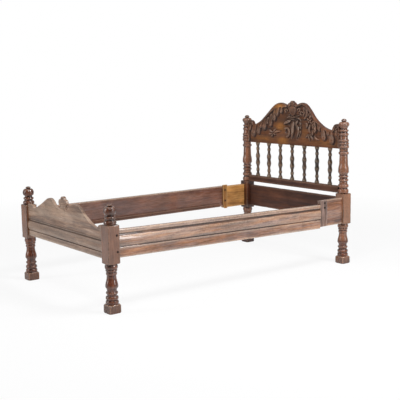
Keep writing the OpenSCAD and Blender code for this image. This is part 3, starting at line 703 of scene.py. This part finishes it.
def makeSpindles(look):
    wood = woodFinish("spindleWalnut", "z")
    names = sorted(name for name in cadNodes if name.startswith("spindle_") and name[8:].isdigit())
    for seed, name in enumerate(names, 20):
        low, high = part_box(name)
        centre = ((low.x + high.x) / 2, (low.y + high.y) / 2)
        points, faces, feel = turnedPiece(name, centre, (0, -1), seed, look)
        toEnd = np.minimum(points[:, 2] - low.z, high.z - points[:, 2]) / look["endSoil"]
        feel["dirtAndShade"] = np.maximum(feel["dirtAndShade"], np.clip(1.3 - toEnd, 0, look["endMost"]))
        # swellings paler: worn bare, and painted highlights
        feel["bare"] = feel["wearAndHighlight"] * look["swellBareAndLit"]
        mesh = facedMesh(name + "_turned", points, faces)
        dressPiece(name + "_turned", mesh, feel, wood, "dark_walnut", name)


makeSpindles(spindles)
print("spindles turned")


# boards and moulded rails: the section is read from the frame and drawn out again
# with softened arrises, a little waviness and small knocks along its edges
boards = {
    "step": 2.0 * mm, "soften": 1.1 * mm, "station": 12 * mm, "reach": 7 * mm, "intoPost": 2 * mm,
    "wave": 0.6 * mm, "waveFine": (5, 1.7, 5),
    "knock": 1.6 * mm, "knockFine": (9, 19, 9), "knockFrom": 0.1,
    "wearAt": 1.3 * mm, "wearMost": 0.8, "dirtAndShadeAt": 0.7 * mm, "undersideShade": 0.3, "plainEnd": 0.4,
    # where the sections of old rails, new lengths and cross rails are read
    "spots": ((-0.75, 0.5), (0.86, 0.93), (0.06, 0.2)),
}


def drawnBoard(nodeName, axis, ends, spots, finish, slotName, seed, innerWay=0, plain=0.0):
    look = boards
    k = "xyz".index(axis)
    others = [i for i in range(3) if i != k]
    step = look["step"]
    loop = cutOutline(nodeName, axis, spots[0])
    rise = cutOutline(nodeName, axis, spots[1])[:, 1].min() - loop[:, 1].min()
    slope = rise / (spots[1] - spots[0])
    section = softened(evenly(loop, step), look["soften"] / step)
    outward = outwardOf(section)
    bulge = ((section - softened(section, look["reach"] / step)) * outward).sum(1)
    feel = feelOf(bulge, look)
    # painted shade on the faces of the section that look down
    feel["dirtAndShade"] = np.maximum(feel["dirtAndShade"], look["undersideShade"] * np.clip(-outward[:, 1] * 1.3, 0, 1))
    feel["bare"] = np.full(len(section), plain)
    if innerWay:
        feel["bare"] = np.clip(outward[:, 0] * innerWay * 2 - 1, 0, 1)
    count = max(6, int((ends[1] - ends[0]) / look["station"])) + 1
    rings = np.empty((count, len(section), 3))
    for i, s in enumerate(np.linspace(*ends, count)):
        for j, ((a, b), way, worn) in enumerate(zip(section, outward, feel["wearAndHighlight"])):
            out = look["wave"] * ripple((a, s, b), look["waveFine"], seed)
            if worn > 0.2:
                hit = ripple((a, s, b), look["knockFine"], seed + 9)
                out -= look["knock"] * worn * max(0, hit - look["knockFrom"])
            rings[i, j, others] = a + way[0] * out, b + way[1] * out + slope * (s - spots[0])
            rings[i, j, k] = s
    points, faces = skinOver(rings)
    feel = {key: np.tile(values, count) for key, values in feel.items()}
    feel["wearAndHighlight"] *= look["wearMost"]
    mesh = facedMesh(nodeName + "_board", points, faces)
    dressPiece(nodeName + "_board", mesh, feel, finish, slotName, nodeName)


def makeRails(look):
    innerX, innerY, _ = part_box("head_post_right")[0]
    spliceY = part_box("rail_extension_right")[0].y
    ledger = [end.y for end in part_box("slat_ledger_right")]
    farX, farY = innerX + look["intoPost"], innerY + look["intoPost"]
    longWoods = ("mouldedOak", "insideOak", "newPine")
    oldWood, insideWood, newWood = (woodFinish(kind, "y") for kind in longWoods)
    crossWood, darkWood = woodFinish("footOak", "x"), woodFinish("insideOak", "x")
    oldSpots, newSpots, crossSpots = look["spots"]
    oldEnds, newEnds, crossEnds = (-farY, spliceY), (spliceY, farY), (-farX, farX)
    for seed, side, inward in ((31, "left", 1), (34, "right", -1)):
        drawnBoard("side_rail_" + side, "y", oldEnds, oldSpots, oldWood, "old_oak", seed, inward)
        drawnBoard("slat_ledger_" + side, "y", ledger, oldSpots, insideWood, "old_inside", seed + 1)
    drawnBoard("rail_extension_left", "y", newEnds, newSpots, newWood, "new_pine", 41)
    drawnBoard(
        "rail_extension_right", "y", newEnds, newSpots, oldWood, "old_oak", 42, plain=look["plainEnd"])
    drawnBoard("foot_rail", "x", crossEnds, crossSpots, crossWood, "old_oak", 43)
    drawnBoard("head_rail", "x", crossEnds, crossSpots, darkWood, "old_inside", 44)
    drawnBoard("spindle_rail", "x", crossEnds, crossSpots, darkWood, "dark_walnut", 45)


makeRails(boards)
print("rails drawn")


# flat bars set upright at the splices: plates outside, battens inside,
# the battens with round pockets for the nuts
bars = {
    "arris": 1.0 * mm, "step": 4 * mm, "plateBow": 6 * mm, "edgeWear": 2.5 * mm,
    "snip": (16 * mm, 36 * mm), "chip": 1.2 * mm, "chipFine": (30, 30, 26), "chipFrom": 0.1,
    "pocket": (8.5 * mm, 6.5 * mm), "pocketShade": 0.7,
    "boltHeights": {"left": (0.465, 0.377), "right": (0.474, 0.440)},
}
arrisTurn = np.array([0, 30, 60, 90])  # the degrees that a rounded arris is drawn at


# outline of a bar's section from corner to corner, with counts of points along its four sides
def roundedBox(low, high, arris, counts):
    (x0, y0), (x1, y1) = low, high
    loop = []
    for x, y, turn in ((x1, y1, 0), (x0, y1, 90), (x0, y0, 180), (x1, y0, 270)):
        cx = x - math.copysign(arris, x - (x0 + x1) / 2)
        cy = y - math.copysign(arris, y - (y0 + y1) / 2)
        for a in np.radians(turn + arrisTurn):
            loop.append(np.array((cx + arris * math.cos(a), cy + arris * math.sin(a))))
    rows = []
    for start, (a, b) in enumerate(zip(loop, loop[1:] + loop[:1])):
        parts = counts[start // 4] if start % 4 == 3 else 1
        rows += [a + (b - a) * t / parts for t in range(parts)]
    return np.array(rows)


# span gives a bar's two edges along Y, a way up from its foot
def barRings(nodeName, span, seed, look):
    low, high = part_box(nodeName)
    arris, step = look["arris"], look["step"]
    bend = arris * (1 - np.cos(np.radians(arrisTurn)))
    straight = np.arange(low.z + arris + step, high.z - arris - step / 2, step)
    counts = [max(2, int((high.x - low.x) / step)), max(2, int((high.y - low.y) / step))] * 2
    rings, wears = [], []
    for z in np.concatenate([low.z + bend, straight, high.z - bend[::-1]]):
        y0, y1 = span(z - low.z)
        fromEnd = min(z - low.z, high.z - z)
        pull = arris - math.sqrt(max(0, arris ** 2 - max(0, arris - fromEnd) ** 2))
        loop = roundedBox((low.x + pull, y0 + pull), (high.x - pull, y1 - pull), arris, counts)
        middle = np.array([(low.x + high.x) / 2, (y0 + y1) / 2])
        half = np.array([(high.x - low.x) / 2, (y1 - y0) / 2])
        nearEdge = np.minimum((half - np.abs(loop - middle)).max(1), fromEnd)
        wearAndHighlight = np.clip(1 - nearEdge / look["edgeWear"], 0, 1)
        hits = [max(0, ripple((x, y, z), look["chipFine"], seed) - look["chipFrom"]) for x, y in loop]
        loop = loop + np.sign(middle - loop) * (look["chip"] * wearAndHighlight * hits)[:, None]
        rings.append(np.column_stack([loop, np.full(len(loop), z)]))
        wears.append(wearAndHighlight)
    points, faces = skinOver(np.array(rings))
    return points, faces, {"wearAndHighlight": np.concatenate(wears), "dirtAndShade": np.zeros(len(points))}


def makeSplices(look):
    uprightWoods = ("greyOak", "cleatPine", "insideOak")
    greyWood, paleWood, darkWood = (woodFinish(kind, "z") for kind in uprightWoods)
    cleatWoods = {"left": (paleWood, "grey_oak"), "right": (darkWood, "old_inside")}
    for seed, side in ((51, "left"), (52, "right")):
        plate, cleat = "splice_plate_" + side, "splice_cleat_" + side
        plateLow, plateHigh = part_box(plate)
        cleatLow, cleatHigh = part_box(cleat)

        def plateSpan(up):
            bow = 1 - math.sin(math.pi * up / (plateHigh.z - plateLow.z))
            return plateLow.y, plateHigh.y - look["plateBow"] * bow

        def cleatSpan(up):
            cut = max(0, 1 - up / look["snip"][1])
            return cleatLow.y + look["snip"][0] * cut, cleatHigh.y

        points, faces, feel = barRings(plate, plateSpan, seed, look)
        mesh = facedMesh(plate + "_bar", points, faces)
        dressPiece(plate + "_bar", mesh, feel, greyWood, "grey_oak", plate)
        points, faces, feel = barRings(cleat, cleatSpan, seed + 3, look)
        faceX = cleatHigh.x if side == "left" else cleatLow.x
        radius, depth = look["pocket"]
        holes = [
            ((faceX, (cleatLow.y + cleatHigh.y) / 2, z), radius, 2 * depth)
            for z in look["boltHeights"][side]]
        mesh = boredThrough(facedMesh(cleat + "_bar", points, faces), holes)
        # the nut pockets are painted dark as shade inside them
        feel = feelAt(mesh, points, feel, look["pocketShade"])
        dressPiece(cleat + "_bar", mesh, feel, *cleatWoods[side], cleat)


makeSplices(bars)
print("splices covered")


# bolts, nuts, nails and pegs keep the frame's own meshes
def finishSmallParts():
    metal, wood = ironFinish(ironLook), woodFinish("pegWood", "x")
    for name in ("splice_bolts", "splice_nuts", "ledger_nails", "rail_pegs"):
        mesh = cadNodes[name].data
        mesh.materials.clear()
        mesh.materials.append(wood if name == "rail_pegs" else metal)


finishSmallParts()
print("small parts finished")


# smooth curve through rows of numbers
def smoothRun(rows, parts=12):
    rows = np.array(rows, float)
    ends = np.vstack([2 * rows[0] - rows[1], rows, 2 * rows[-1] - rows[-2]])
    run = []
    for a, b, c, d in zip(ends, ends[1:], ends[2:], ends[3:]):
        for t in np.arange(parts) / parts:
            bend = (2 * a - 5 * b + 4 * c - d) * t ** 2 + (3 * b - a - 3 * c + d) * t ** 3
            run.append((2 * b + (c - a) * t + bend) / 2)
    run.append(rows[-1])
    return np.array(run)


# the carving of a flat board: a raster of heights in metres over its front plane
class Relief:
    def __init__(self, outline, step):
        self.step = step
        self.low = outline.min(0) - 4 * step
        size = np.ceil((outline.max(0) + 4 * step - self.low) / step).astype(int) + 1
        self.x = self.low[0] + np.arange(size[0]) * step
        self.z = self.low[1] + np.arange(size[1]) * step
        self.gridX, self.gridZ = np.meshgrid(self.x, self.z, indexing="ij")
        self.height = np.zeros(self.gridX.shape)
        tree = nearestOf([(x, z, 0) for x, z in outline])
        far = np.empty(self.gridX.shape)
        for i in range(0, len(self.x), 2):
            for j in range(0, len(self.z), 2):
                far[i:i + 2, j:j + 2] = tree.find((self.x[i], self.z[j], 0))[2]
        self.edge = softenedBoth(far, 1)  # how far each cell is from the outline

    def sample(self, raster, x, z):
        u = (x - self.low[0]) / self.step
        v = (z - self.low[1]) / self.step
        i = np.clip(u.astype(int), 0, len(self.x) - 2)
        j = np.clip(v.astype(int), 0, len(self.z) - 2)
        s, t = u - i, v - j
        return (
            raster[i, j] * (1 - s) * (1 - t) + raster[i + 1, j] * s * (1 - t)
            + raster[i, j + 1] * (1 - s) * t + raster[i + 1, j + 1] * s * t)

    def rippled(self, fine, seed):
        return np.array([[ripple((x, 0, z), fine, seed) for z in self.z] for x in self.x])

    # how far the front falls away towards a rounded edge
    def rounding(self, reach):
        near = np.clip(1 - self.edge / reach, 0, 1)
        return reach * (1 - np.sqrt(1 - near ** 2 * 0.999))

    # rows of (across, up, half width, height), all in millimetres, with a moat sunk round them
    def stroke(self, rows, hollow, moat, moatDepth):
        run = smoothRun(rows) * mm
        reach = run[:, 2].max() + moat * mm
        inX = np.nonzero((self.x >= run[:, 0].min() - reach) & (self.x <= run[:, 0].max() + reach))[0]
        inZ = np.nonzero((self.z >= run[:, 1].min() - reach) & (self.z <= run[:, 1].max() + reach))[0]
        part = np.ix_(inX, inZ)
        dx = self.gridX[part][..., None] - run[:, 0]
        dz = self.gridZ[part][..., None] - run[:, 1]
        width = np.maximum(run[:, 2], 0.3 * mm)
        far = np.sqrt(dx ** 2 + dz ** 2)
        which = (far / width).argmin(-1)
        q = np.take_along_axis(far, which[..., None], -1)[..., 0] / width[which]
        dome = run[which, 3] * np.sqrt(np.clip(1 - q ** 3, 0, 1))
        dip = 1 - hollow * np.exp(-(q / 0.42) ** 2)
        here = self.height[part]
        outside = (q >= 1) & ((q - 1) * width[which] < moat * mm)
        here = np.where(outside, np.minimum(here, -moatDepth * mm), here)
        self.height[part] = np.where(q < 1, np.maximum(here, dome * dip), here)

    def pit(self, x, z, radius, depth):
        far = np.hypot(self.gridX - x * mm, self.gridZ - z * mm) / (radius * mm)
        bowl = -depth * mm * np.sqrt(np.clip(1 - far ** 2, 0, 1))
        self.height = np.where(far < 1, np.minimum(self.height, bowl), self.height)

    # the most of several soft patches: across, up, how wide, how high in mm, how much
    def patches(self, rows):
        most = np.zeros_like(self.gridX)
        for x, z, wide, high, amount in rows:
            far = np.hypot((self.gridX - x * mm) / (wide * mm), (self.gridZ - z * mm) / (high * mm))
            most = np.maximum(most, amount * np.exp(-far ** 2))
        return most


# staggered points inside an outline, and triangles between them and the outline
def filledOutline(outline, step):
    tree = nearestOf([(x, z, 0) for x, z in outline])
    after = np.roll(outline, -1, 0)
    inner = []
    heights = np.arange(outline[:, 1].min() + step / 2, outline[:, 1].max(), step * 0.87)
    for row, z in enumerate(heights):
        crosses = (outline[:, 1] <= z) != (after[:, 1] <= z)
        a, b = outline[crosses], after[crosses]
        cuts = np.sort(a[:, 0] + (z - a[:, 1]) / (b[:, 1] - a[:, 1]) * (b[:, 0] - a[:, 0]))
        for x0, x1 in zip(cuts[::2], cuts[1::2]):
            for x in np.arange(x0 + step / 2 + (row % 2) * step / 2, x1, step):
                if tree.find((x, z, 0))[2] > step * 0.6:
                    inner.append((x, z))
    everything = [Vector(p) for p in outline] + [Vector(p) for p in inner]
    verts, _, faces, *_ = delaunay_2d_cdt(everything, [], [list(range(len(outline)))], 1, 1e-7)
    return np.array([tuple(v) for v in verts]), faces


def softOutline(nodeName, look):
    step = look["outlineStep"]
    return softened(evenly(cutOutline(nodeName, "y", look["cutY"]), step), look["soften"] / step)


def reliefBoard(nodeName, outline, relief, look, finish, slotName, feel, seed):
    frontY, backY = look["frontY"], look["backY"]
    front, frontFaces = filledOutline(outline, look["frontGrid"])
    back, backFaces = filledOutline(outline, look["backGrid"])
    count = len(outline)
    heights = relief.sample(relief.height, front[:, 0], front[:, 1])
    points = [(x, frontY - h, z) for (x, z), h in zip(front, heights)]
    faces = [tuple(f) for f in frontFaces]
    outward = outwardOf(outline)
    edgeY = frontY - heights[:count]
    layer = list(range(count))
    for share in np.linspace(0, 1, look["wallRows"] + 2)[1:]:
        above, layer = layer, []
        for i, (a, b) in enumerate(outline):
            bulge = look["round"] * math.sin(math.pi * share)
            bulge += look["saw"] * ripple((a, share, b), look["sawFine"], seed)
            x, z = outline[i] + outward[i] * bulge * (share < 1)
            layer.append(len(points))
            points.append((x, edgeY[i] + (backY - edgeY[i]) * share, z))
        for i in range(count):
            after = (i + 1) % count
            faces.append((above[i], above[after], layer[after], layer[i]))
    backMap = dict(enumerate(layer))
    for i in range(count, len(back)):
        backMap[i] = len(points)
        points.append((back[i][0], backY, back[i][1]))
    faces += [tuple(backMap[i] for i in f) for f in backFaces]
    rest = np.zeros(len(points) - len(front))
    feel = {
        key: np.concatenate([relief.sample(raster, front[:, 0], front[:, 1]), rest])
        for key, raster in feel.items()}
    mesh = facedMesh(nodeName + "_board", points, faces)
    dressPiece(nodeName + "_board", mesh, feel, finish, slotName, nodeName, sharpAt=50)


footBoard = {
    "cutY": -1.0225, "outlineStep": 3 * mm, "soften": 1.5 * mm, "raster": 2 * mm,
    "frontGrid": 5 * mm, "backGrid": 12 * mm, "wallRows": 4, "thick": 20 * mm,
    "edgeRound": 3 * mm, "round": 0.6 * mm, "saw": 0.3 * mm, "sawFine": (60, 2, 60),
    "wave": 0.8 * mm, "waveFine": (4, 0, 7), "edgeWear": 3.5 * mm, "railSoil": 7 * mm,
    "darkened": [(-70, 562, 14, 14, 0.8), (-98, 572, 10, 10, 0.6), (55, 582, 12, 12, 0.8),
               (27, 556, 9, 9, 0.6), (-24, 575, 7, 7, 0.6), (-232, 556, 12, 12, 0.4)],
}


def makeFootBoard(look):
    name = "foot_crest_board"
    outline = softOutline(name, look)
    look["frontY"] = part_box(name)[0].y
    look["backY"] = look["frontY"] + look["thick"]
    relief = Relief(outline, look["raster"])
    relief.height = -0.5 * relief.rounding(look["edgeRound"])
    relief.height += look["wave"] * (relief.rippled(look["waveFine"], 61) - 0.5)
    up = relief.gridZ - outline[:, 1].min()
    feel = {
        "wearAndHighlight": np.clip(1 - relief.edge / look["edgeWear"], 0, 1) * (up > 4 * mm),
        "dirtAndShade": np.maximum(np.clip(1 - up / look["railSoil"], 0, 1), relief.patches(look["darkened"])),
    }
    reliefBoard(name, outline, relief, look, woodFinish("footOak", "x"), "old_oak", feel, 62)


makeFootBoard(footBoard)
print("footboard cut")


# strokes are rows of (across, up, half width, height) in mm, as read off the photograph
headBoard = {
    "cutY": 0.9925, "outlineStep": 2.4 * mm, "soften": 1.6 * mm, "raster": 1.5 * mm,
    "frontGrid": 2.1 * mm, "backGrid": 12 * mm, "wallRows": 4,
    "frontY": 0.990, "backY": 1.010, "round": 0.8 * mm, "saw": 0.5 * mm, "sawFine": (60, 2, 60),
    "band": 20 * mm, "bandHeight": 10.5 * mm, "bandSlope": 7 * mm,
    "broadBand": (-135, 62, 22), "crowned": (12, 1140, 62),  # across, how wide or up, how much
    "edgeRound": 6 * mm, "tool": 0.4 * mm, "toolFine": (90, 0, 55), "sunk": 0.3 * mm, "most": 14.5 * mm,
    "eased": 0.6, "bandLip": 2 * mm, "plainFoot": 5 * mm,
    "feelReach": 7 * mm, "wearAt": 4 * mm, "wearMost": 0.6, "dirtAndShadeAt": 6.5 * mm, "dirtAndShadeShare": 0.6,
    "undercut": 6.5 * mm, "shadowMost": 0.9, "dirtAndShadeMost": 0.95, "dirtAndShadeHides": 1.5, "bareLeast": 0.12,
    # leaf tips under the band: distance out, top, tip, half width
    "tips": {
        -1: [(480, 990, 944, 13), (440, 985, 900, 30), (378, 1000, 922, 24), (346, 1012, 968, 17),
             (308, 1030, 957, 26), (270, 1046, 1003, 17), (232, 1072, 988, 21), (190, 1110, 1033, 22),
             (155, 1134, 1072, 20), (108, 1140, 1092, 15)],
        1: [(479, 985, 940, 14), (430, 970, 883, 27), (394, 980, 940, 17), (350, 985, 905, 24),
            (303, 1010, 972, 18), (258, 1030, 955, 22), (212, 1090, 1056, 17)],
    },
    # golden ground where the finish is rubbed thin: across, up, how wide, how high, how much
    "golden": [(-95, 878, 60, 26, 1.0), (-120, 985, 55, 34, 0.9), (-130, 1146, 75, 22, 1.0),
               (-330, 884, 110, 22, 0.55), (-180, 1106, 60, 16, 0.6), (330, 880, 160, 20, 0.35),
               (140, 940, 40, 60, 0.35)],
    # paler patches that hands have worn, with painted highlights on the glossy leaves; darker patches
    # of soot, with painted shade under the crown and on the ears
    "rubbedAndHighlit": [(18, 968, 15, 46, 1.0), (-45, 1022, 26, 11, 0.6), (56, 1004, 10, 22, 0.5),
               (-30, 930, 12, 24, 0.4), (430, 925, 22, 34, 0.4), (350, 940, 18, 30, 0.35),
               (-310, 985, 22, 24, 0.4), (12, 1130, 40, 24, 0.25), (-440, 935, 22, 22, 0.35),
               (-378, 950, 18, 18, 0.4), (-195, 1060, 20, 20, 0.35)],
    "sootAndShade": [(0, 900, 90, 40, 0.45), (60, 1000, 60, 60, 0.25), (-54, 950, 12, 14, 0.9),
              (50, 960, 8, 44, 0.75), (112, 980, 8, 50, 0.6), (-2, 960, 7, 44, 0.6),
              (30, 1046, 44, 8, 0.6), (-478, 1015, 34, 40, 0.6), (482, 1004, 30, 32, 0.65),
              (50, 1076, 62, 16, 0.6), (-206, 936, 18, 26, 0.4), (215, 930, 36, 30, 0.3),
              (-92, 1128, 14, 10, 0.8), (116, 1098, 18, 18, 0.6)],
}

# a rolled leaf tip from its root to its end: towards the middle in half widths and in mm,
# up in lengths and in half widths, half width, height; large ones have an eye
tipShape = [(0.6, 0, 1, 0, 0.9, 10.5), (0.25, 0, 0.6, 0, 0.92, 12.5), (0, 0, 0, 0.95, 0.96, 14.5),
            (0, 0, 0, 0.35, 0.6, 12), (0, 2, 0, 0, 0.25, 6)]
tipEye = {"from": 16, "shape": (0.25, 0.75, 0.15, 11)}

# how deep each kind is hollowed along its middle, and the cut round it: width, depth
leafCuts = {
    "tips": (0.1, 3, 1), "flutes": (0.15, 2, 1), "strands": (0.1, 3, 3), "rolls": (0.1, 3, 3),
    "tulip": (0.22, 4, 3.5), "curls": (0.25, 3, 3), "sprigs": (0.3, 3, 3), "crown": (0.08, 2, 2),
}


def ringRows(x, z, across, up, half, height, turn):
    turns = np.arange(*turn, 0.5)
    return [(x + across * math.cos(a), z + up * math.sin(a), half, height) for a in turns]


leaves = {
    "flutes": [
        [(156, 1150, 8, 7), (172, 1112, 13, 11), (170, 1080, 13, 11), (146, 1058, 7, 7)],
        [(210, 1112, 8, 6), (214, 1080, 11, 9), (196, 1056, 7, 6)],
        [(136, 1140, 6, 5), (142, 1106, 8, 8), (130, 1078, 6, 6)]],
    "strands": [
        [(-52, 1060, 2, 3), (-18, 1068, 6, 6), (24, 1066, 7, 7), (66, 1074, 6, 6), (98, 1086, 3, 3)],
        [(-40, 1046, 2, 3), (0, 1050, 6, 6), (34, 1044, 5, 6)],
        [(54, 1062, 4, 5), (84, 1058, 7, 7), (110, 1040, 3, 4)],
        [(-30, 1084, 3, 3), (10, 1086, 6, 5), (52, 1090, 5, 4)]],
    "rolls": [
        [(-82, 1008, 3, 5), (-60, 1020, 10, 12), (-32, 1029, 14, 14), (-10, 1036, 8, 9)],
        [(72, 1040, 4, 6), (62, 1022, 9, 11), (58, 1002, 5, 7)],
        [(-470, 1002, 6, 8), (-484, 1018, 10, 12), (-478, 1034, 6, 8)],
        [(470, 990, 6, 8), (484, 1006, 10, 12), (476, 1022, 6, 8)]],
    "tulip": [
        [(28, 1026, 6, 8), (26, 1000, 14, 13), (21, 962, 15, 14.5), (14, 926, 10, 12),
         (8, 902, 4, 6)],
        [(68, 1000, 5, 7), (78, 984, 9, 11), (86, 962, 10, 12), (76, 934, 7, 9), (62, 912, 3, 4)],
        [(96, 1030, 4, 5), (104, 1000, 6, 7), (100, 950, 6, 7), (88, 916, 3, 4)]],
    "curls": [
        ringRows(-48, 946, 32, 33, 8, 11, (-1.4, 2.3)),
        ringRows(-52, 1116, 13, 12, 5, 11, (0, 5)),
        ringRows(86, 1122, 13, 12, 5, 11, (-1.5, 3.5)),
        ringRows(116, 1098, 12, 14, 5, 9, (0.5, 5))],
    "sprigs": [
        [(-212, 938, 5, 7), (-232, 950, 9, 11), (-254, 958, 3, 4)],
        [(-210, 934, 4, 6), (-214, 918, 9, 11), (-220, 904, 4, 5)],
        [(-204, 932, 4, 6), (-190, 926, 7, 9), (-176, 922, 3, 4)],
        [(-202, 940, 4, 6), (-188, 956, 8, 11), (-180, 966, 3, 4)],
        [(-198, 938, 4, 6), (-160, 948, 8, 10), (-112, 952, 2, 3)],
        [(-216, 930, 4, 6), (-236, 926, 7, 9), (-250, 930, 3, 4)],
        [(176, 1064, 5, 7), (198, 1042, 9, 11), (222, 1024, 4, 5)],
        [(226, 1060, 4, 6), (204, 1042, 8, 11), (184, 1024, 4, 6)],
        [(164, 1024, 6, 7), (176, 1008, 12, 12), (166, 990, 5, 7)],
        [(244, 1026, 5, 7), (236, 1004, 11, 12), (246, 984, 5, 6)],
        [(206, 1008, 6, 8), (200, 978, 11, 13), (210, 950, 5, 7)],
        [(226, 972, 4, 6), (234, 950, 9, 11), (220, 930, 4, 6)],
        [(256, 994, 5, 6), (264, 974, 10, 11), (254, 956, 4, 5)],
        [(206, 944, 5, 7), (184, 930, 9, 11), (156, 912, 3, 4)],
        [(208, 940, 5, 7), (220, 920, 8, 10), (238, 902, 3, 4)],
        [(198, 936, 4, 7), (194, 916, 8, 10), (204, 894, 3, 4)],
        [(250, 930, 3, 4), (268, 912, 8, 9), (296, 902, 3, 4)]],
    "crown": [
        [(14, 1096, 26, 7), (18, 1124, 40, 12), (18, 1150, 46, 13)],
        [(-20, 1160, 17, 14), (-12, 1163, 17, 14)],
        [(20, 1172, 20, 14.5), (28, 1172, 20, 14.5)],
        [(54, 1160, 15, 14), (60, 1156, 14, 13)]],
}
# eyes and dark hollows: across, up, radius, depth
pits = [(-54, 950, 15, 7), (46, 1054, 10, 6), (-16, 1006, 9, 5), (66, 900, 7, 5), (100, 1000, 7, 5),
        (100, 970, 6, 5), (-6, 1078, 12, 5), (84, 1098, 8, 5), (116, 1098, 6, 5), (-84, 1130, 11, 4),
        (-52, 1116, 5, 5), (86, 1122, 5, 5), (-200, 938, 4, 4), (202, 1040, 4, 4)]


def carveTip(relief, x, top, tip, half, side):
    rows = []
    for inward, more, lengths, up, wide, height in tipShape:
        across = x - side * (inward * half + more)
        rows.append((across, tip + lengths * (top - tip) + up * half, half * wide, height))
    relief.stroke(rows, *leafCuts["tips"])
    if half > tipEye["from"]:
        out, up, size, height = tipEye["shape"]
        relief.pit(x + side * half * out, tip + half * up, half * size, -height)


def makeHeadBoard(look):
    name = "carved_headboard"
    outline = softOutline(name, look)
    relief = Relief(outline, look["raster"])
    gridX, gridZ = relief.gridX, relief.gridZ
    bottom = outline[:, 1].min()
    for side, tips in look["tips"].items():
        for across, top, tip, half in tips:
            carveTip(relief, side * across, top, tip, half, side)
    for kind, rows in leaves.items():
        for row in rows:
            relief.stroke(row, *leafCuts[kind])
    for pit in pits:
        relief.pit(*pit)

    # plain band along the top edge, broad on the left hump, that the tips hang from
    lip = look["bandLip"]
    fromTop = np.where(gridZ - bottom < relief.edge + lip, 1, relief.edge)
    x, wide, more = look["broadBand"]
    width = look["band"] + more * mm * np.exp(-((gridX - x * mm) / (wide * mm)) ** 2)
    band = np.clip((width - fromTop) / look["bandSlope"], 0, 1)
    x, z, size = look["crowned"]
    crowned = np.hypot(gridX - x * mm, gridZ - z * mm) < size * mm
    band = np.where(crowned, 0, look["bandHeight"] * band * band * (3 - 2 * band))
    height = np.where(band > lip, np.maximum(relief.height, band), relief.height)

    height -= relief.rounding(look["edgeRound"]) * (gridZ > bottom + look["plainFoot"])
    height = softenedBoth(np.minimum(height, look["most"]), look["eased"])
    height += look["tool"] * relief.rippled(look["toolFine"], 71) - look["sunk"]
    relief.height = height
    feel = feelOf(height - softenedBoth(height, look["feelReach"] / relief.step), look)
    # painted shadow under the tips, on the side away from the light
    over = np.maximum(np.roll(height, (3, -3), (0, 1)), np.roll(height, (6, -5), (0, 1)) - lip)
    under = np.clip((over - height) / look["undercut"], 0, look["shadowMost"])
    # dark channel: grime and painted shade in the hollows, plus the painted shadow
    dirtAndShade = np.clip(feel["dirtAndShade"] * look["dirtAndShadeShare"] + under, 0, look["dirtAndShadeMost"])
    clean = np.clip(1 - dirtAndShade * look["dirtAndShadeHides"], 0, 1)
    # pale patches hold worn spots and painted highlights; dark patches hold soot and painted shade
    feel["wearAndHighlight"] = np.maximum(feel["wearAndHighlight"] * look["wearMost"], relief.patches(look["rubbedAndHighlit"]) * clean)
    feel["dirtAndShade"] = np.maximum(dirtAndShade, relief.patches(look["sootAndShade"]))
    feel["bare"] = clean * np.clip(relief.patches(look["golden"]) + look["bareLeast"], 0, 1)
    wood = woodFinish("carvedWalnut", "x")
    reliefBoard(name, outline, relief, look, wood, "dark_walnut", feel, 72)


makeHeadBoard(headBoard)
print("headboard carved")
